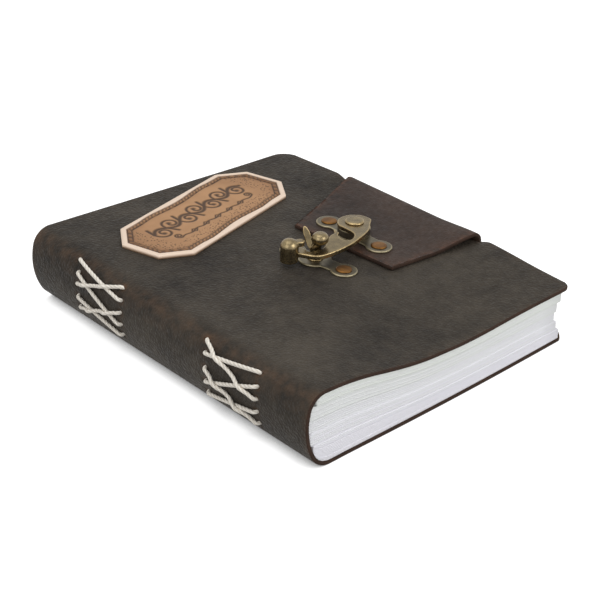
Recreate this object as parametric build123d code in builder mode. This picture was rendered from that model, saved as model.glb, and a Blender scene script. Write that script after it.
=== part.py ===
"""A locking leather diary: long-stitch bound signatures in one soft hide with a clasped flap.

Millimetres, +Z up.  X runs from the spine to the fore-edge, Y from the tail to the head, and the
origin is under the middle of the closed diary.  Book coordinates measure X from the spine's outer
face; the section, floor and cover planes below carry them into that frame.
"""

from build123d import *
import os
from math import asin, atan2, cos, degrees, hypot, pi, radians, sin, sqrt, tan

os.makedirs("parts", exist_ok=True)

# Driving dimensions of the closed book
cover_height = 178.0
cover_width = 147.5
spine_thickness = 34.0
fore_edge_thickness = 26.2
leather = 1.6
top_shoulder = 9.0
bottom_shoulder = 10.0
spine_round = 30.0
spine_crown = 19.5
head_corner = 8.0
tail_corner = 4.0
seam = 0.3
slip = 0.1

# Text block: five folded signatures, the middle ones drawn in at the fore-edge
signature_count = 5
paper_gap = 0.3
paper_square = 1.5
leaf_gap = 0.2
fold_low = 8.5
fold_high = 31.0
fold_depth = 3.0
fold_round = 2.4
fore_edge_setback = 2.4
fore_edge_hollow = 3.6

# Sewing: two groups of stations, each sewn with one thread
thread_diameter = 1.3
thread_room = 0.2
thread_standoff = 0.75
thread_bend = 1.2
thread_ends = 1.0
station_span = 30.6
kerf_width = 3.2
hole_depth = 6.4
head_inset = 49.7
tail_inset = 43.6
crossing_start = 0.16
crossing_end = 0.82

# Front cover fold: how far up the top shoulder the hide is free of its sewing, in degrees
fold_climb = 66.0
fold_lift = 0.2

# Flap: a tongue of the back cover that wraps the fore-edge
strap_gap = 0.4
flap_tail_edge = -35.0
flap_head_edge = 43.5
flap_tip_head = 21.0
flap_tip = 92.9
flap_tip_skew = 4.6
flap_gap = 0.3
flap_corner = 1.5

# Title label
label_length = 97.0
label_width = 39.0
label_thickness = 1.8
label_cut_length = 12.0
label_cut_width = 10.0
label_rim = 3.0
label_tooling = 0.3
label_x = 70.8
label_y = 55.8
label_turn = 16.5

# Swing clasp
plate_thickness = 0.9
plate_edge = 0.3
dome_share = 0.85
ear_radius = 5.8
waist_radius = 7.2
waist_width = 8.0
waist_fillet = 2.0
rivet_spacing = 31.2
rivet_head = 7.0
rivet_rise = 0.7
rivet_shank = 2.6
burr_diameter = 6.0
burr_thickness = 0.6
pivot_x = 106.3
pivot_y = -2.5
hub_radius = 7.2
hub_height = 3.4
pivot_shank = 4.0
pivot_head = 8.4
pivot_rise = 0.9
pivot_tail = 6.4
pivot_tail_thickness = 0.5
pivot_play = 0.08
arm_thickness = 2.0
hook_drop = 1.9
bend_start = -9.0
bend_end = -30.0
knob_radius = 3.9
knob_foot = 2.2
knob_crown = 5.9
knob_dome = 3.4
knob_dx = -12.3
knob_dy = 2.9
beak_reach = 4.6
beak_width = 3.8
beak_turn = -26.0
beak_rise = 2.6
beak_thickness = 2.2
catch_dx = -27.2
catch_dy = -4.9
catch_turn = 8.3
catch_far = 12.2
post_radius = 2.4
post_neck = 2.2
post_foot_radius = 3.4
post_foot_rise = 0.6
ball_radius = 3.6
ball_half = 2.6
ball_round = 2.4
ball_clearance = 1.4
ball_lean = (1.0, -1.55)
leaf_thickness = 1.3
leaf_length = 10.8
leaf_width = 3.0
leaf_sink = 1.6
leaf_tilt = 27.0
leaf_heading = 96.0
leaf_side = -42.0
leaf_foot = (-1.8, 1.0)


def shoulder_x(radius, height):
    """Book x of a shoulder's centre, whose arc runs smoothly into the rounded spine."""
    return spine_round - sqrt((spine_round - radius) ** 2 - (height - spine_crown) ** 2)


# Closed section of the hide, in book coordinates: a rounded spine between two shoulders
shoulder_z = spine_thickness - top_shoulder
top_x = shoulder_x(top_shoulder, shoulder_z)
low_x = shoulder_x(bottom_shoulder, bottom_shoulder)
top_join = degrees(asin((shoulder_z - spine_crown) / (spine_round - top_shoulder)))
low_join = degrees(asin((bottom_shoulder - spine_crown) / (spine_round - bottom_shoulder)))
reach = hypot(cover_width - top_x, fore_edge_thickness - shoulder_z)
rise = atan2(fore_edge_thickness - shoulder_z, cover_width - top_x)
cover_tilt = asin(top_shoulder / reach) - rise
top_climb = 90 + degrees(cover_tilt)
strap_x = cover_width + strap_gap + leather / 2


def hide_point(climb, depth):
    """A point of the spine's section, climb degrees up from level and some depth inside its face."""
    if climb > top_join:
        centre, radius = (top_x, shoulder_z), top_shoulder
    elif climb < low_join:
        centre, radius = (low_x, bottom_shoulder), bottom_shoulder
    else:
        centre, radius = (spine_round, spine_crown), spine_round
    return (
        centre[0] - (radius - depth) * cos(radians(climb)),
        centre[1] + (radius - depth) * sin(radians(climb)),
    )


def hide_arc(first, last, depth):
    """An arc of the spine's section from one climb to another, within one of its three curves."""
    middle = (first + last) / 2
    return ThreePointArc(hide_point(first, depth), hide_point(middle, depth), hide_point(last, depth))


def hide_climb(z, depth):
    """Climb of the point of the spine's section at a height, some depth inside its face."""
    if z > hide_point(top_join, depth)[1]:
        return degrees(asin((z - shoulder_z) / (top_shoulder - depth)))
    if z < hide_point(low_join, depth)[1]:
        return degrees(asin((z - bottom_shoulder) / (bottom_shoulder - depth)))
    return degrees(asin((z - spine_crown) / (spine_round - depth)))


def spine_face(z):
    """Book x of the spine's outer face at a height."""
    return hide_point(hide_climb(z, 0), 0)[0]


tangent_x, tangent_z = hide_point(top_climb, 0)
paper_depth = leather + paper_gap
fold_pitch = (fold_high - fold_low) / (signature_count - 1)
fold_root = paper_depth + fold_depth


def paper_top(x):
    """Height of the text block's upper face at book x."""
    return tangent_z - (x - tangent_x) * tan(cover_tilt) - paper_depth / cos(cover_tilt)


def leaf_line(level, x):
    """Height of the boundary that lies above the given count of signatures, at book x."""
    if level == 0:
        return paper_depth
    if level == signature_count:
        return paper_top(x)
    far = paper_depth + (paper_top(cover_width) - paper_depth) * level / signature_count
    near = fold_low + (level - 0.5) * fold_pitch
    return near + (far - near) * (x - fold_root) / (cover_width - fold_root)


# Sewing of each signature, listed from the top one down: where its hole meets the spine's face, where
# its thread runs inside the fold, and the way out between the two
hole_spots = []
fold_spots = []
ways_out = []
for number in range(signature_count):
    hole_z = fold_high - number * fold_pitch
    hole_x = spine_face(hole_z)
    fold_x = hole_x + paper_depth + fold_depth
    below = signature_count - 1 - number
    fold_z = (leaf_line(below, fold_x) + leaf_line(below + 1, fold_x)) / 2
    span = hypot(hole_x - fold_x, hole_z - fold_z)
    hole_spots.append((hole_x, hole_z))
    fold_spots.append((fold_x, fold_z))
    ways_out.append(((hole_x - fold_x) / span, (hole_z - fold_z) / span))

# Outside runs of the threads.  A stitch between two odd signatures lies over the others.
thread_out = thread_standoff + thread_diameter / 2
crossing_out = thread_out + thread_diameter + thread_room
outside_spots = []
for (hole_x, hole_z), (way_x, way_z) in zip(hole_spots, ways_out):
    outside_spots.append((hole_x + way_x * thread_out, hole_z + way_z * thread_out))


def lifted_points(first, second):
    """The two corners, as (share of the way, book x, z), of a stitch that lies over the others."""
    first_z = outside_spots[first - 1][1]
    second_z = outside_spots[second - 1][1]
    points = []
    for share in (crossing_start, crossing_end):
        z = first_z + (second_z - first_z) * share
        points.append((share, spine_face(z) - crossing_out, z))
    return points


evens = list(range(2, signature_count + 1, 2))
odds = list(range(3, signature_count + 1, 2))
sewing_order = [1] + evens + odds[::-1] + [1]
lifted_x = []
for first, second in zip(sewing_order, sewing_order[1:]):
    if first % 2 and second % 2:
        lifted_x += [point[1] for point in lifted_points(first, second)]
        lifted_x += [point[1] for point in lifted_points(second, first)]

# The frame: the middle of the closed diary's length along X is at zero
x_low = min(lifted_x) - thread_diameter / 2
x_high = strap_x + leather / 2
x_mid = (x_low + x_high) / 2
section = Plane(origin=(-x_mid, 0, 0), x_dir=(1, 0, 0), z_dir=(0, -1, 0))
floor = Plane(origin=(-x_mid, 0, 0))
slope = Vector(cos(cover_tilt), 0, -sin(cover_tilt))
cover_zero = Vector(tangent_x - x_mid, 0, tangent_z) - slope * tangent_x
cover = Plane(origin=cover_zero, x_dir=slope, z_dir=(sin(cover_tilt), 0, cos(cover_tilt)))
cover_up = Axis((0, 0, 0), (sin(cover_tilt), 0, cos(cover_tilt)))

# Heights above the front cover's outer face
flap_top = flap_gap + leather
plate_top = flap_top + plate_thickness
arm_low = plate_top + hub_height + slip
arm_top = arm_low + arm_thickness
hook_top = arm_top - hook_drop
ball_height = hook_top + ball_clearance + ball_half
catch_x = pivot_x + catch_dx
catch_y = pivot_y + catch_dy

# Sewing stations: Y of the head-side and tail-side hole rows of each group
head_group = cover_height / 2 - head_inset
tail_group = tail_inset - cover_height / 2
head_rows = (head_group + station_span / 2, head_group - station_span / 2)
tail_rows = (tail_group + station_span / 2, tail_group - station_span / 2)
all_rows = head_rows + tail_rows
hole_radius = thread_diameter / 2 + thread_room

# Spine and back cover, one hide, up to the fold of the front cover
strap_inner = strap_x - leather / 2

with BuildPart() as spine_and_back:
    with BuildSketch(section):
        with BuildLine():
            Line((cover_width, 0), (low_x, 0))
            hide_arc(-90, low_join, 0)
            hide_arc(low_join, top_join, 0)
            hide_arc(top_join, fold_climb, 0)
            Line(hide_point(fold_climb, 0), hide_point(fold_climb, leather))
            hide_arc(fold_climb, top_join, leather)
            hide_arc(top_join, low_join, leather)
            hide_arc(low_join, -90, leather)
            Line((low_x, leather), (cover_width, leather))
            Line((cover_width, leather), (cover_width, 0))
        make_face()
    extrude(amount=cover_height / 2, both=True)
    corners = spine_and_back.edges().filter_by(Axis.Z).group_by(Axis.X)[-1].sort_by(Axis.Y)
    fillet(corners[0], tail_corner)
    corners = spine_and_back.edges().filter_by(Axis.Z).group_by(Axis.X)[-1].sort_by(Axis.Y)
    fillet(corners[-1], head_corner)
    with BuildSketch(floor):
        with BuildLine():
            Polyline(
                (cover_width - leather, flap_tail_edge),
                (strap_inner - seam, flap_tail_edge),
                (strap_inner - seam, flap_head_edge),
                (cover_width - leather, flap_head_edge),
                close=True,
            )
        make_face()
    extrude(amount=leather)
    for row in all_rows:
        for (hole_x, hole_z), (way_x, way_z) in zip(hole_spots, ways_out):
            hole = Plane(origin=(hole_x - x_mid, row, hole_z), z_dir=(way_x, 0, way_z))
            with Locations(hole.location):
                Cylinder(hole_radius, hole_depth, mode=Mode.SUBTRACT)

spine_and_back.part.label = "spine_and_back_leather"
export_step(spine_and_back.part, "parts/spine_and_back_leather.step")

# Signatures, numbered from the top: a rounded fold, sewing kerfs and a bore for the inside stitches
for number in range(signature_count):
    below = signature_count - 1 - number
    hollow = fore_edge_hollow * sin(pi * (number + 0.5) / signature_count)
    edge = cover_width - fore_edge_setback - hollow
    gap_low = 0 if number == signature_count - 1 else leaf_gap / 2
    gap_high = 0 if number == 0 else leaf_gap / 2
    crest = hide_point(hide_climb(hole_spots[number][1], paper_depth), paper_depth)
    near = crest[0] + fold_round
    near_low = (near, leaf_line(below, near) + gap_low)
    near_high = (near, leaf_line(below + 1, near) - gap_high)
    far_low = (edge, leaf_line(below, edge) + gap_low)
    far_high = (edge, leaf_line(below + 1, edge) - gap_high)
    with BuildPart() as signature:
        with BuildSketch(section):
            with BuildLine():
                Line(far_low, far_high)
                if number == 0:
                    seat_low = hide_climb(leaf_line(below, fold_root) + gap_low, paper_depth)
                    Line(far_high, hide_point(top_climb, paper_depth))
                    hide_arc(top_climb, seat_low, paper_depth)
                    Line(hide_point(seat_low, paper_depth), far_low)
                elif number == signature_count - 1:
                    seat_high = hide_climb(leaf_line(below + 1, fold_root) - gap_high, paper_depth)
                    Line(far_high, hide_point(seat_high, paper_depth))
                    hide_arc(seat_high, low_join, paper_depth)
                    hide_arc(low_join, -90, paper_depth)
                    Line(hide_point(-90, paper_depth), far_low)
                else:
                    Line(far_high, near_high)
                    ThreePointArc(near_high, crest, near_low)
                    Line(near_low, far_low)
            make_face()
        extrude(amount=cover_height / 2 - paper_square, both=True)
        fold_x, fold_z = fold_spots[number]
        way_x, way_z = ways_out[number]
        for row in all_rows:
            kerf = Plane(origin=(fold_x - x_mid, row, fold_z), x_dir=(way_x, 0, way_z), z_dir=(0, -1, 0))
            with Locations(kerf.location):
                Box(
                    fold_root,
                    2 * hole_radius,
                    kerf_width,
                    align=(Align.MIN, Align.CENTER, Align.CENTER),
                    mode=Mode.SUBTRACT,
                )
        for group in (head_group, tail_group):
            with Locations((fold_x - x_mid, group, fold_z)):
                Cylinder(
                    hole_radius,
                    station_span + kerf_width,
                    rotation=(90, 0, 0),
                    mode=Mode.SUBTRACT,
                )
    signature.part.label = f"signature_{number + 1}"
    export_step(signature.part, f"parts/signature_{number + 1}.step")


def thread_route(rows, order):
    """Corners of one thread, whose two ends meet inside the signature that it starts from.

    The order lists the signatures that it passes through.  Each stitch leaves one signature at
    the head-side row, crosses the outside of the spine and enters the next one at the tail-side
    row, and the thread then runs back inside that signature.
    """
    head_row, tail_row = rows
    middle = (head_row + tail_row) / 2
    home_x, home_z = fold_spots[order[0] - 1]
    corners = [(home_x, middle + thread_ends / 2, home_z), (home_x, head_row, home_z)]
    for first, second in zip(order, order[1:]):
        first_x, first_z = outside_spots[first - 1]
        second_x, second_z = outside_spots[second - 1]
        fold_x, fold_z = fold_spots[second - 1]
        corners.append((first_x, head_row, first_z))
        if first % 2 and second % 2:
            for share, x, z in lifted_points(first, second):
                corners.append((x, head_row + (tail_row - head_row) * share, z))
        corners.append((second_x, tail_row, second_z))
        corners.append((fold_x, tail_row, fold_z))
        corners.append((fold_x, head_row, fold_z))
    corners[-1] = (home_x, middle - thread_ends / 2, home_z)
    return [(x - x_mid, y, z) for x, y, z in corners]


for name, rows, order in (
    ("sewing_thread_head", head_rows, sewing_order),
    ("sewing_thread_tail", tail_rows, sewing_order[::-1]),
):
    with BuildPart() as thread:
        with BuildLine() as route:
            FilletPolyline(*thread_route(rows, order), radius=thread_bend)
        run = route.wires()[0]
        with BuildSketch(Plane(origin=run @ 0, z_dir=run % 0)):
            Circle(thread_diameter / 2)
        sweep(path=run)
    expected = pi * (thread_diameter / 2) ** 2 * run.length
    print(f"{name}: length {run.length:.1f}, volume {thread.part.volume:.1f} of {expected:.1f}")
    thread.part.label = name
    export_step(thread.part, f"parts/{name}.step")

# Front cover: the free part of the shoulder and the panel, with pockets for the clasp's burrs
free_climb = fold_climb + degrees(seam / top_shoulder)
catch_way = (-sin(radians(catch_turn)), cos(radians(catch_turn)))
catch_runs = (-rivet_spacing / 2, catch_far)
catch_spots = [(catch_x + run * catch_way[0], catch_y + run * catch_way[1]) for run in catch_runs]
flap_spots = [(pivot_x, pivot_y + side * rivet_spacing / 2) for side in (-1, 1)]
edge_low = (
    cover_width - leather * sin(cover_tilt),
    fore_edge_thickness - leather * cos(cover_tilt),
)

with BuildPart() as front_cover:
    with BuildSketch(section):
        with BuildLine():
            hide_arc(free_climb, top_climb, 0)
            Line(hide_point(top_climb, 0), (cover_width, fore_edge_thickness))
            Line((cover_width, fore_edge_thickness), edge_low)
            Line(edge_low, hide_point(top_climb, leather))
            hide_arc(top_climb, free_climb, leather)
            Line(hide_point(free_climb, leather), hide_point(free_climb, 0))
        make_face()
    extrude(amount=cover_height / 2, both=True)
    corners = front_cover.edges().filter_by(cover_up).group_by(Axis.X)[-1].sort_by(Axis.Y)
    fillet(corners[0], tail_corner)
    corners = front_cover.edges().filter_by(cover_up).group_by(Axis.X)[-1].sort_by(Axis.Y)
    fillet(corners[-1], head_corner)
    with BuildSketch(cover.offset(-leather)):
        with Locations(*catch_spots):
            Circle(burr_diameter / 2 + slip)
    extrude(amount=burr_thickness, mode=Mode.SUBTRACT)
    with BuildSketch(cover):
        with Locations(*catch_spots):
            Circle(rivet_shank / 2 + slip)
    extrude(amount=-leather, mode=Mode.SUBTRACT)

front_cover.part.label = "front_cover_leather"
export_step(front_cover.part, "parts/front_cover_leather.step")

# Title label: a chamfered leather tag with a lower, tooled middle
with BuildPart() as label:
    with BuildSketch(cover) as label_outline:
        with Locations(Location((label_x, label_y, 0), (0, 0, label_turn))):
            with BuildLine(mode=Mode.PRIVATE) as label_edge:
                Polyline(
                    (label_length / 2, label_width / 2 - label_cut_width),
                    (label_length / 2 - label_cut_length, label_width / 2),
                    (label_cut_length - label_length / 2, label_width / 2),
                    (-label_length / 2, label_width / 2 - label_cut_width),
                    (-label_length / 2, label_cut_width - label_width / 2),
                    (label_cut_length - label_length / 2, -label_width / 2),
                    (label_length / 2 - label_cut_length, -label_width / 2),
                    (label_length / 2, label_cut_width - label_width / 2),
                    close=True,
                )
            add(make_face(label_edge.line.edges(), mode=Mode.PRIVATE))
    extrude(amount=label_thickness)
    with BuildSketch(cover.offset(label_thickness)):
        add(label_outline.sketch_local)
        offset(amount=-label_rim, kind=Kind.INTERSECTION, mode=Mode.REPLACE)
    extrude(amount=-label_tooling, mode=Mode.SUBTRACT)

label.part.label = "title_label"
export_step(label.part, "parts/title_label.step")


def clasp_plate(base, middle, spots, pin_radius, turn=0.0):
    """A two-eared plate on a plane, turned by some degrees, bored for its rivets and its centre pin."""
    with BuildPart() as plate:
        with BuildSketch(base) as outline:
            with Locations(*spots):
                Circle(ear_radius)
            with Locations(middle):
                Circle(waist_radius)
                Rectangle(waist_width, rivet_spacing, rotation=turn)
            fillet(outline.vertices(), waist_fillet)
            with Locations(*spots):
                Circle(rivet_shank / 2 + slip, mode=Mode.SUBTRACT)
            with Locations(middle):
                Circle(pin_radius + slip, mode=Mode.SUBTRACT)
        extrude(amount=plate_thickness)
        fillet(plate.faces().sort_by(cover_up)[-1].outer_wire().edges(), plate_edge)
    return plate.part


def clasp_rivets(base, spots):
    """A pair of rivets whose heads sit on a plate's top plane and whose tails reach the burrs."""
    with BuildPart() as rivets:
        with BuildSketch(base):
            with Locations(*spots):
                Circle(rivet_head / 2)
        extrude(amount=rivet_rise)
        crowns = rivets.faces().filter_by(cover_up).group_by(cover_up)[-1]
        fillet([edge for crown in crowns for edge in crown.edges()], rivet_rise * dome_share)
        with BuildSketch(base):
            with Locations(*spots):
                Circle(rivet_shank / 2)
        extrude(amount=-plate_thickness - leather)
    return rivets.part


def clasp_burrs(base, spots):
    """A pair of burr washers that lie flush in the underside of the leather."""
    with BuildPart() as burrs:
        with BuildSketch(base):
            with Locations(*spots):
                Circle(burr_diameter / 2)
                Circle(rivet_shank / 2 + slip, mode=Mode.SUBTRACT)
        extrude(amount=burr_thickness)
    return burrs.part


# Catch on the front cover
catch_plate = clasp_plate(cover, (catch_x, catch_y), catch_spots, post_radius, catch_turn)
catch_plate.label = "catch_plate"
export_step(catch_plate, "parts/catch_plate.step")

catch_rivets = clasp_rivets(cover.offset(plate_thickness), catch_spots)
catch_rivets.label = "catch_rivets"
export_step(catch_rivets, "parts/catch_rivets.step")

catch_burrs = clasp_burrs(cover.offset(-leather), catch_spots)
catch_burrs.label = "catch_burrs"
export_step(catch_burrs, "parts/catch_burrs.step")

# Catch post: a stem whose neck leans to carry a flat ball over the arm, with a thin leaf leaning away
leaf_away = cover.x_dir * cos(radians(leaf_heading)) + cover.y_dir * sin(radians(leaf_heading))
leaf_axis = cover.z_dir * cos(radians(leaf_tilt)) + leaf_away * sin(radians(leaf_tilt))
leaf_root = cover.from_local_coords(Vector(catch_x + leaf_foot[0], catch_y + leaf_foot[1], hook_top))
leaf_centre = leaf_root + leaf_axis * (leaf_length / 2 - leaf_sink)
leaf_across = cover.x_dir * cos(radians(leaf_side)) + cover.y_dir * sin(radians(leaf_side))
leaf_plane = Plane(origin=leaf_centre, x_dir=leaf_axis, z_dir=leaf_across.cross(leaf_axis))
ball_centre = (catch_x + ball_lean[0], catch_y + ball_lean[1])

with BuildPart() as ball:
    with BuildSketch(cover.offset(ball_height - ball_half)):
        with Locations(ball_centre):
            Circle(ball_radius)
    extrude(amount=2 * ball_half)
    fillet(ball.edges().filter_by(GeomType.CIRCLE), ball_round)

with BuildPart() as catch_post:
    with BuildSketch(cover.offset(hook_top)):
        with Locations((catch_x, catch_y)):
            Circle(post_radius)
    with BuildSketch(cover.offset(ball_height)):
        with Locations(ball_centre):
            Circle(post_neck)
    loft()
    with BuildSketch(cover):
        with Locations((catch_x, catch_y)):
            Circle(post_radius)
    extrude(amount=hook_top)
    with BuildSketch(cover.offset(plate_thickness)):
        with Locations((catch_x, catch_y)):
            Circle(post_foot_radius)
    extrude(amount=post_foot_rise)
    add(ball.part)
    with BuildSketch(leaf_plane):
        Ellipse(leaf_length / 2, leaf_width / 2)
    extrude(amount=leaf_thickness / 2, both=True)

catch_post.part.label = "catch_post"
export_step(catch_post.part, "parts/catch_post.step")

# Flap: the strap up the fore-edge turns on rolled folds at its foot and its head
flap_middle = flap_gap + leather / 2
fold_u = tangent_x + (strap_x - tangent_x - flap_middle * sin(cover_tilt)) / cos(cover_tilt)
fold_top_z = tangent_z - (fold_u - tangent_x) * sin(cover_tilt) + flap_middle * cos(cover_tilt)
fold_foot_z = leather / 2

with BuildPart() as strap:
    with BuildSketch(section.offset(-flap_tail_edge)):
        with Locations((strap_x, (fold_top_z + fold_foot_z) / 2)):
            SlotCenterToCenter(fold_top_z - fold_foot_z, leather, rotation=90)
    extrude(amount=flap_tail_edge - flap_head_edge)

strap.part.label = "fore_edge_strap"
export_step(strap.part, "parts/fore_edge_strap.step")

flap_root = fold_u - leather / 2 - seam
with BuildPart() as flap:
    with BuildSketch(cover.offset(flap_gap)) as tongue:
        with BuildLine():
            Polyline(
                (flap_root, flap_tail_edge),
                (flap_root, flap_head_edge),
                (flap_tip, flap_tip_head),
                (flap_tip + flap_tip_skew, flap_tail_edge),
                close=True,
            )
        make_face()
        tip_corners = tongue.vertices().sort_by(Axis.X)[:2]
        fillet(tip_corners, flap_corner)
    extrude(amount=leather)
    with BuildSketch(cover.offset(flap_gap)):
        with Locations(*flap_spots):
            Circle(burr_diameter / 2 + slip)
    extrude(amount=burr_thickness, mode=Mode.SUBTRACT)
    with BuildSketch(cover.offset(flap_gap)):
        with Locations(*flap_spots):
            Circle(rivet_shank / 2 + slip)
    extrude(amount=leather, mode=Mode.SUBTRACT)
    with BuildSketch(cover.offset(flap_top)):
        with Locations((pivot_x, pivot_y)):
            Circle(pivot_tail / 2 + slip)
    extrude(amount=-pivot_tail_thickness - slip, mode=Mode.SUBTRACT)

flap.part.label = "flap_leather"
export_step(flap.part, "parts/flap_leather.step")

flap_plate = clasp_plate(cover.offset(flap_top), (pivot_x, pivot_y), flap_spots, pivot_shank / 2)
flap_plate.label = "flap_plate"
export_step(flap_plate, "parts/flap_plate.step")

flap_rivets = clasp_rivets(cover.offset(plate_top), flap_spots)
flap_rivets.label = "flap_rivets"
export_step(flap_rivets, "parts/flap_rivets.step")

flap_burrs = clasp_burrs(cover.offset(flap_gap), flap_spots)
flap_burrs.label = "flap_burrs"
export_step(flap_burrs, "parts/flap_burrs.step")

with BuildPart() as hub:
    with BuildSketch(cover.offset(plate_top)):
        with Locations((pivot_x, pivot_y)):
            Circle(hub_radius)
            Circle(pivot_shank / 2 + slip, mode=Mode.SUBTRACT)
    extrude(amount=hub_height)

hub.part.label = "pivot_hub"
export_step(hub.part, "parts/pivot_hub.step")

with BuildPart() as pivot:
    with BuildSketch(cover.offset(arm_top + slip)):
        with Locations((pivot_x, pivot_y)):
            Circle(pivot_head / 2)
    extrude(amount=pivot_rise)
    fillet(pivot.edges().group_by(cover_up)[-1], pivot_rise * dome_share)
    with BuildSketch(cover.offset(flap_top)):
        with Locations((pivot_x, pivot_y)):
            Circle(pivot_shank / 2)
    extrude(amount=arm_top + slip - flap_top)
    with BuildSketch(cover.offset(flap_top)):
        with Locations((pivot_x, pivot_y)):
            Circle(pivot_tail / 2)
    extrude(amount=-pivot_tail_thickness)

pivot.part.label = "pivot_rivet"
export_step(pivot.part, "parts/pivot_rivet.step")


def hook(dx, dy):
    """A point of the arm's hooked end, which is laid out from the catch post."""
    return (catch_dx + dx, catch_dy + dy)


# Swing arm, cast in one with its knob.  Its outline is measured from the pivot, and the points of its
# hooked end, from hook_front to notch_back, from the catch post.
arm_shoulder = (8.2, -0.9)
arm_turn = (-0.1, -1.0)
arm_front = ((5.4, -4.5), (1.2, -8.3), (-4.6, -11.4))
hook_front = ((13.1, -9.1), (3.9, -9.3), (-6.6, -6.5))
pad_end = (-10.4, -0.2)
pad_turn = (-0.6, 0.8)
pad_crest = (-13.4, 2.9)
finger_root = (-8.7, 4.7)
finger_tip = (-4.9, 2.1)
finger_heel = (-6.1, -0.6)
notch_back = ((-5.4, -1.9), (-2.8, -3.2), (0.4, -3.6), (3.6, -2.3), (8.7, 1.4))
thorn_root = (-13.9, -2.3)
thorn_tip = (-11.8, 0.6)
thorn_low = (-12.2, -3.4)
window = ((-14.9, -7.4), (-14.1, -11.0), (-8.9, -9.3), (-7.4, -4.8))
disc_left = (-7.6, 1.4)
disc_crest = (1.6, 7.2)
arm_ends = (-50.0, 15.0)
arm_side = 25.0
pivot_spot = cover.from_local_coords(Vector(pivot_x, pivot_y, arm_low))
arm_plane = Plane(origin=pivot_spot, x_dir=cover.x_dir, z_dir=cover.z_dir)
bend_plane = Plane(origin=pivot_spot, x_dir=cover.x_dir, z_dir=-cover.y_dir)
knob_plane = arm_plane.offset(knob_foot - arm_low)
beak_plane = arm_plane.offset(hook_top + beak_rise - arm_low)
beak_dx = knob_dx + cos(radians(beak_turn)) * beak_reach / 2
beak_dy = knob_dy + sin(radians(beak_turn)) * beak_reach / 2
front_spots = [hook(*spot) for spot in hook_front]
back_spots = [hook(*spot) for spot in notch_back]

with BuildPart() as arm:
    with BuildSketch(arm_plane.offset(-hook_drop)):
        with BuildLine():
            Spline(arm_shoulder, *arm_front, *front_spots, hook(*pad_end), tangents=(arm_turn, pad_turn))
            ThreePointArc(hook(*pad_end), hook(*pad_crest), hook(*finger_root))
            ThreePointArc(hook(*finger_root), hook(*finger_tip), hook(*finger_heel))
            Spline(hook(*finger_heel), *back_spots, thorn_root)
            Line(thorn_root, thorn_tip)
            Line(thorn_tip, thorn_low)
            Spline(thorn_low, *window, disc_left)
            ThreePointArc(disc_left, disc_crest, arm_shoulder)
        make_face()
        Circle(pivot_shank / 2 + pivot_play, mode=Mode.SUBTRACT)
    extrude(amount=hook_drop + arm_thickness)
    with BuildSketch(bend_plane):
        with BuildLine():
            Polyline(
                (arm_ends[1], 0),
                (bend_start, 0),
                (bend_end, -hook_drop),
                (arm_ends[0], -hook_drop),
                (arm_ends[0], arm_thickness - hook_drop),
                (bend_end, arm_thickness - hook_drop),
                (bend_start, arm_thickness),
                (arm_ends[1], arm_thickness),
                close=True,
            )
        make_face()
    extrude(amount=arm_side, both=True, mode=Mode.INTERSECT)
    with BuildSketch(knob_plane):
        with Locations(hook(knob_dx, knob_dy)):
            Circle(knob_radius)
    extrude(amount=hook_top + knob_crown - knob_foot)
    fillet(arm.edges().group_by(cover_up)[-1], knob_dome)
    with BuildSketch(beak_plane):
        with Locations(hook(beak_dx, beak_dy)):
            SlotCenterToCenter(beak_reach, beak_width, rotation=beak_turn)
    extrude(amount=beak_thickness)

arm.part.label = "swing_arm"
export_step(arm.part, "parts/swing_arm.step")

# Joint axes
hinge_out = hide_point((fold_climb + free_climb) / 2, -fold_lift)
print(f"cover fold at {hinge_out[0] - x_mid:.3f}, 0, {hinge_out[1]:.3f}")
print(f"strap foot fold at {strap_x - x_mid:.3f}, 0, {fold_foot_z:.3f}")
print(f"strap head fold at {strap_x - x_mid:.3f}, 0, {fold_top_z:.3f}")
print(f"arm pivot at {pivot_spot}, axis {cover.z_dir}")
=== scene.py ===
"""Looks of a locking leather diary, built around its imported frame.

Lengths in the classes are millimetres in the frame's axes: X runs from the spine to the fore-edge,
Y from the tail to the head and Z up.  Book coordinates measure X from the spine's outer face.
A Ramp is a pair: where a soft form starts, and the length over which it grows.
"""

import logging
import math
from dataclasses import dataclass
from enum import Enum

import bmesh
import bpy
import numpy as np
from mathutils import Matrix, Vector, noise


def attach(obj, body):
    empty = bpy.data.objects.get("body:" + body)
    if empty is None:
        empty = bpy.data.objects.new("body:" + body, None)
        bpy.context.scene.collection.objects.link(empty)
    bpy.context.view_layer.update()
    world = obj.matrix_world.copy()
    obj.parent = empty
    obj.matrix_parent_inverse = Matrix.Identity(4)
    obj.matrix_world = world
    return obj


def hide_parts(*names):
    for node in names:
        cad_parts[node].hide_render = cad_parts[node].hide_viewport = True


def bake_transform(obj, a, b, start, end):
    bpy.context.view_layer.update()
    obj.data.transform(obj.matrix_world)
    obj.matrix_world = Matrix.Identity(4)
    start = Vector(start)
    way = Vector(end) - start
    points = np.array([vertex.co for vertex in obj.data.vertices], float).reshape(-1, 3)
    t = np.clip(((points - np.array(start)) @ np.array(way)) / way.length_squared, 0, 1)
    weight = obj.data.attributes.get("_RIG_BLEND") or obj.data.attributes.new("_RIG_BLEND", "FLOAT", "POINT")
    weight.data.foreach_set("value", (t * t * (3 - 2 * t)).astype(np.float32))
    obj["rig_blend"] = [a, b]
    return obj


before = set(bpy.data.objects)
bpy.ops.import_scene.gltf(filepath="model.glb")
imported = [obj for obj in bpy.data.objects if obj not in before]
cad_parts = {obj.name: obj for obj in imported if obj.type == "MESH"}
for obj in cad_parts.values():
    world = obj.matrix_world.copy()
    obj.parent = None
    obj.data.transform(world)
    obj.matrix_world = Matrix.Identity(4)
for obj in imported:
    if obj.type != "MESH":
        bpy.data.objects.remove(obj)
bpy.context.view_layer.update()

log = logging.getLogger("diary")
MM = 0.001
Array = np.ndarray
Ramp = tuple[float, float]
Node = bpy.types.Node
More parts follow.
